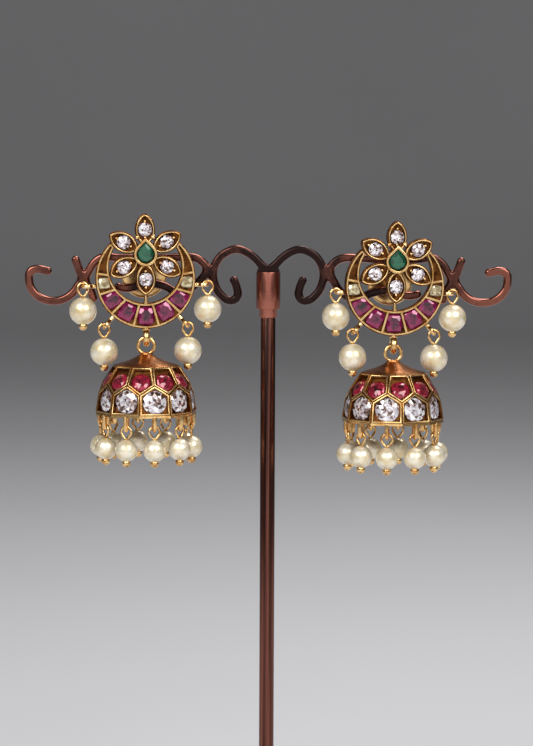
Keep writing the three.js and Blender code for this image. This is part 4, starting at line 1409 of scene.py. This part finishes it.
class JHUMKA_OT_bells(Operator):
    """Builds both bells with their stones, rings and fringe loops"""

    bl_idname = "jhumka.bells"
    bl_label = "Bells"

    def execute(self, context):
        bell = settings("bell")
        for number, side in enumerate(SIDES):
            body, place = f"{side}_bell", bell_place(side, bell)
            bm = bell_shell(bell)
            hollow_out(bm, bell)
            bmesh.ops.recalc_face_normals(bm, faces=bm.faces)
            frame_cells(bm, bell)
            gold = [antique_gold_plate(), oxidised_gold(), coppery_plate()]
            finished(f"{side}_bell_shell", bm, body, gold, place, [body], smooth=30)
            finished(f"{side}_bell_loops", self.loops(bell), body, gold[:1], place)
            white, red = self.stones(bell, random.Random(31 + number))
            for name, stones, glass, slot in (
                ("white", white, white_zircon(), "white_stone"), ("red", red, red_glass(), "ruby"),
            ):
                finished(f"{side}_bell_{name}_stones", stones, body, [glass], place, smooth=0)
        return {"FINISHED"}

    def loops(self, bell):
        """The ring on the neck and a wire staple under each lower cell."""
        bm = ring(bell.ring_diameter, bell.ring_wire)
        bm.transform(move(0, 0, bell.height + bell.roof_rise + ring_drop(bell) / 2))
        half = (bell.loop_width - bell.loop_wire) / 2
        leg = [(half, bell.band / 2), (half, -bell.loop_drop * 0.4), (half * 0.6, -bell.loop_drop * 0.85)]
        points = [(0, out, up) for out, up in leg] + [(0, 0, -bell.loop_drop)]
        points += [(0, -out, up) for out, up in reversed(leg)]
        for number in range(bell.sides):
            add_form(bm, wire(points, bell.loop_wire, steps=6), rim_place(bell, number))
        return bm

    def stones(self, bell, rng):
        """Brilliants in the lower cells and domed stones in the upper ones."""
        low, high = zigzag(bell)
        flat = math.cos(math.pi / bell.sides)
        white, red = bmesh.new(), bmesh.new()
        girdle, pavilion = bell.rim_rise - bell.cell_depth * 0.55, bell.cell_depth * 0.4
        for number in range(bell.sides):
            stone = cut_stone(BRILLIANT, bell.white_stone, bell.white_stone, 0.4, pavilion, rng)
            stone.transform(rotate(rng.random(), "Z") @ move(0, 0, girdle))
            height = bell.band + (high - bell.band) * 0.45
            azimuth = (number + 0.5) * 2 * math.pi / bell.sides
            place = on_bell(lower_radius(bell, height) * flat, height, bell.lower_slope * flat, azimuth)
            add_form(white, stone, place)
            stone = cut_stone(
                DOME, bell.red_stone_width, bell.red_stone_height, 0.55, pavilion, rng,
                squareness=2.4, spread=0.7, edge=0.55,
            )
            stone.transform(move(0, 0, girdle))
            height = low + (bell.height - low) * 0.47
            azimuth = number * 2 * math.pi / bell.sides
            place = on_bell(upper_radius(bell, height) * flat, height, bell.upper_slope * flat, azimuth)
            add_form(red, stone, place)
        return white, red


# Stage

CAMERA_AIM = Vector((-0.25, 0, 109.6)) * MM
CAMERA_DISTANCE = 500 * MM
CAMERA_ABOVE = 5  # degrees
CAMERA_ROLL = math.radians(0.25)  # the stand leans a little to the right in the photo
SEEN_HEIGHT = 135.6 * MM  # what the frame's long side takes in at the stand
SENSOR = 36
# Square lights that face the camera's aim: degrees to the right of the camera and above level,
# distance and width in metres, and power in watts.
SOFT_BOXES = {
    "soft_box_left": (-34, 33, 0.75, 0.4, 3.2),
    "soft_box_right": (34, 33, 0.75, 0.4, 3.0),
    "overhead_box": (150, 62, 0.7, 0.4, 3.2),
    "fill_card": (0, 10, 1.1, 1.0, 2.2),
}
ROOM_COLOUR = linear(0xC0BDBC)
ROOM_STRENGTH = 0.25


def face_aim(name, data, right, above, distance):
    """Stands a camera or light at angles in degrees round the camera's aim, and turns it there."""
    turn, lift = math.radians(right), math.radians(above)
    way = Vector((math.sin(turn) * math.cos(lift), -math.cos(turn) * math.cos(lift), math.sin(lift)))
    thing = link(name, data)
    thing.location = CAMERA_AIM + way * distance
    thing.rotation_euler = (-way).to_track_quat("-Z", "Y").to_euler()
    return thing


class JHUMKA_OT_stage(Operator):
    """Sets the floor, the soft light and the camera"""

    bl_idname = "jhumka.stage"
    bl_label = "Stage"

    def execute(self, context):
        self.floor()
        for name, (right, above, distance, width, power) in SOFT_BOXES.items():
            light = bpy.data.lights.new(name, "AREA")
            light.size = width
            light.energy = power
            face_aim(name, light, right, above, distance)
        world = bpy.data.worlds.new("dim_room")
        world.use_nodes = True
        background = world.node_tree.nodes["Background"]
        background.inputs["Color"].default_value = (*ROOM_COLOUR, 1)
        background.inputs["Strength"].default_value = ROOM_STRENGTH
        context.scene.world = world
        camera = bpy.data.cameras.new("camera")
        camera.sensor_width = SENSOR
        camera.lens = SENSOR * CAMERA_DISTANCE / SEEN_HEIGHT
        eye = face_aim("camera", camera, 0, CAMERA_ABOVE, CAMERA_DISTANCE)
        eye.rotation_euler.rotate_axis("Z", CAMERA_ROLL)
        context.scene.camera = eye
        context.scene.view_settings.view_transform = "Standard"
        return {"FINISHED"}

    def floor(self):
        """A wide sheet of paper, level under the stand and curved up far behind it."""
        half, near, far, bend, top = 4000, -2500, 1600, 900, 3500
        curve = arc(bend, (far, bend), 0, 90, 16)
        bm = bmesh.new()
        edges = chain(bm, [(near, 0), *curve, (far + bend, top)])
        moved = bmesh.ops.extrude_edge_only(bm, edges=edges)["geom"]
        bmesh.ops.translate(bm, verts=of_kind(moved, bmesh.types.BMVert), vec=(0, 2 * half, 0))
        bmesh.ops.recalc_face_normals(bm, faces=bm.faces)
        bm.faces.ensure_lookup_table()
        if bm.faces[0].normal.z < 0:
            bmesh.ops.reverse_faces(bm, faces=bm.faces)
        floor = in_scene("paper_floor", bm, rotate(math.pi / 2, "Z") @ move(0, -half, 0), [pale_floor()])
        floor.data.shade_smooth()


class JHUMKA_PT_panel(Panel):
    """Lists the steps that build the earrings and their stand"""

    bl_idname = "JHUMKA_PT_panel"
    bl_label = "Jhumka Earrings"
    bl_space_type = "VIEW_3D"
    bl_region_type = "UI"
    bl_category = "Jhumka"

    def draw(self, context):
        for operator in OPERATORS:
            self.layout.operator(operator.bl_idname)


GROUPS = {
    "jhumka_stand": StandSizes,
    "jhumka_stud": StudSizes,
    "jhumka_drops": DropSizes,
    "jhumka_bell": BellSizes,
    "jhumka_finishes": Finishes,
}
OPERATORS = (
    JHUMKA_OT_foot,
    JHUMKA_OT_pole,
    JHUMKA_OT_arm,
    JHUMKA_OT_clutches,
    JHUMKA_OT_studs,
    JHUMKA_OT_stones,
    JHUMKA_OT_stud_pearls,
    JHUMKA_OT_bells,
    JHUMKA_OT_fringe,
    JHUMKA_OT_stage,
)


def register():
    for cls in (*GROUPS.values(), *OPERATORS, JHUMKA_PT_panel):
        bpy.utils.register_class(cls)
    for name, group in GROUPS.items():
        setattr(bpy.types.Scene, name, PointerProperty(type=group))


def unregister():
    for name in GROUPS:
        delattr(bpy.types.Scene, name)
    for cls in reversed((*GROUPS.values(), *OPERATORS, JHUMKA_PT_panel)):
        bpy.utils.unregister_class(cls)


def main():
    register()
    bpy.ops.jhumka.foot()
    bpy.ops.jhumka.pole()
    bpy.ops.jhumka.arm()
    bpy.ops.jhumka.clutches()
    bpy.ops.jhumka.studs()
    bpy.ops.jhumka.stones()
    bpy.ops.jhumka.stud_pearls()
    bpy.ops.jhumka.bells()
    bpy.ops.jhumka.fringe()
    bpy.ops.jhumka.stage()


if __name__ == "__main__":
    main()
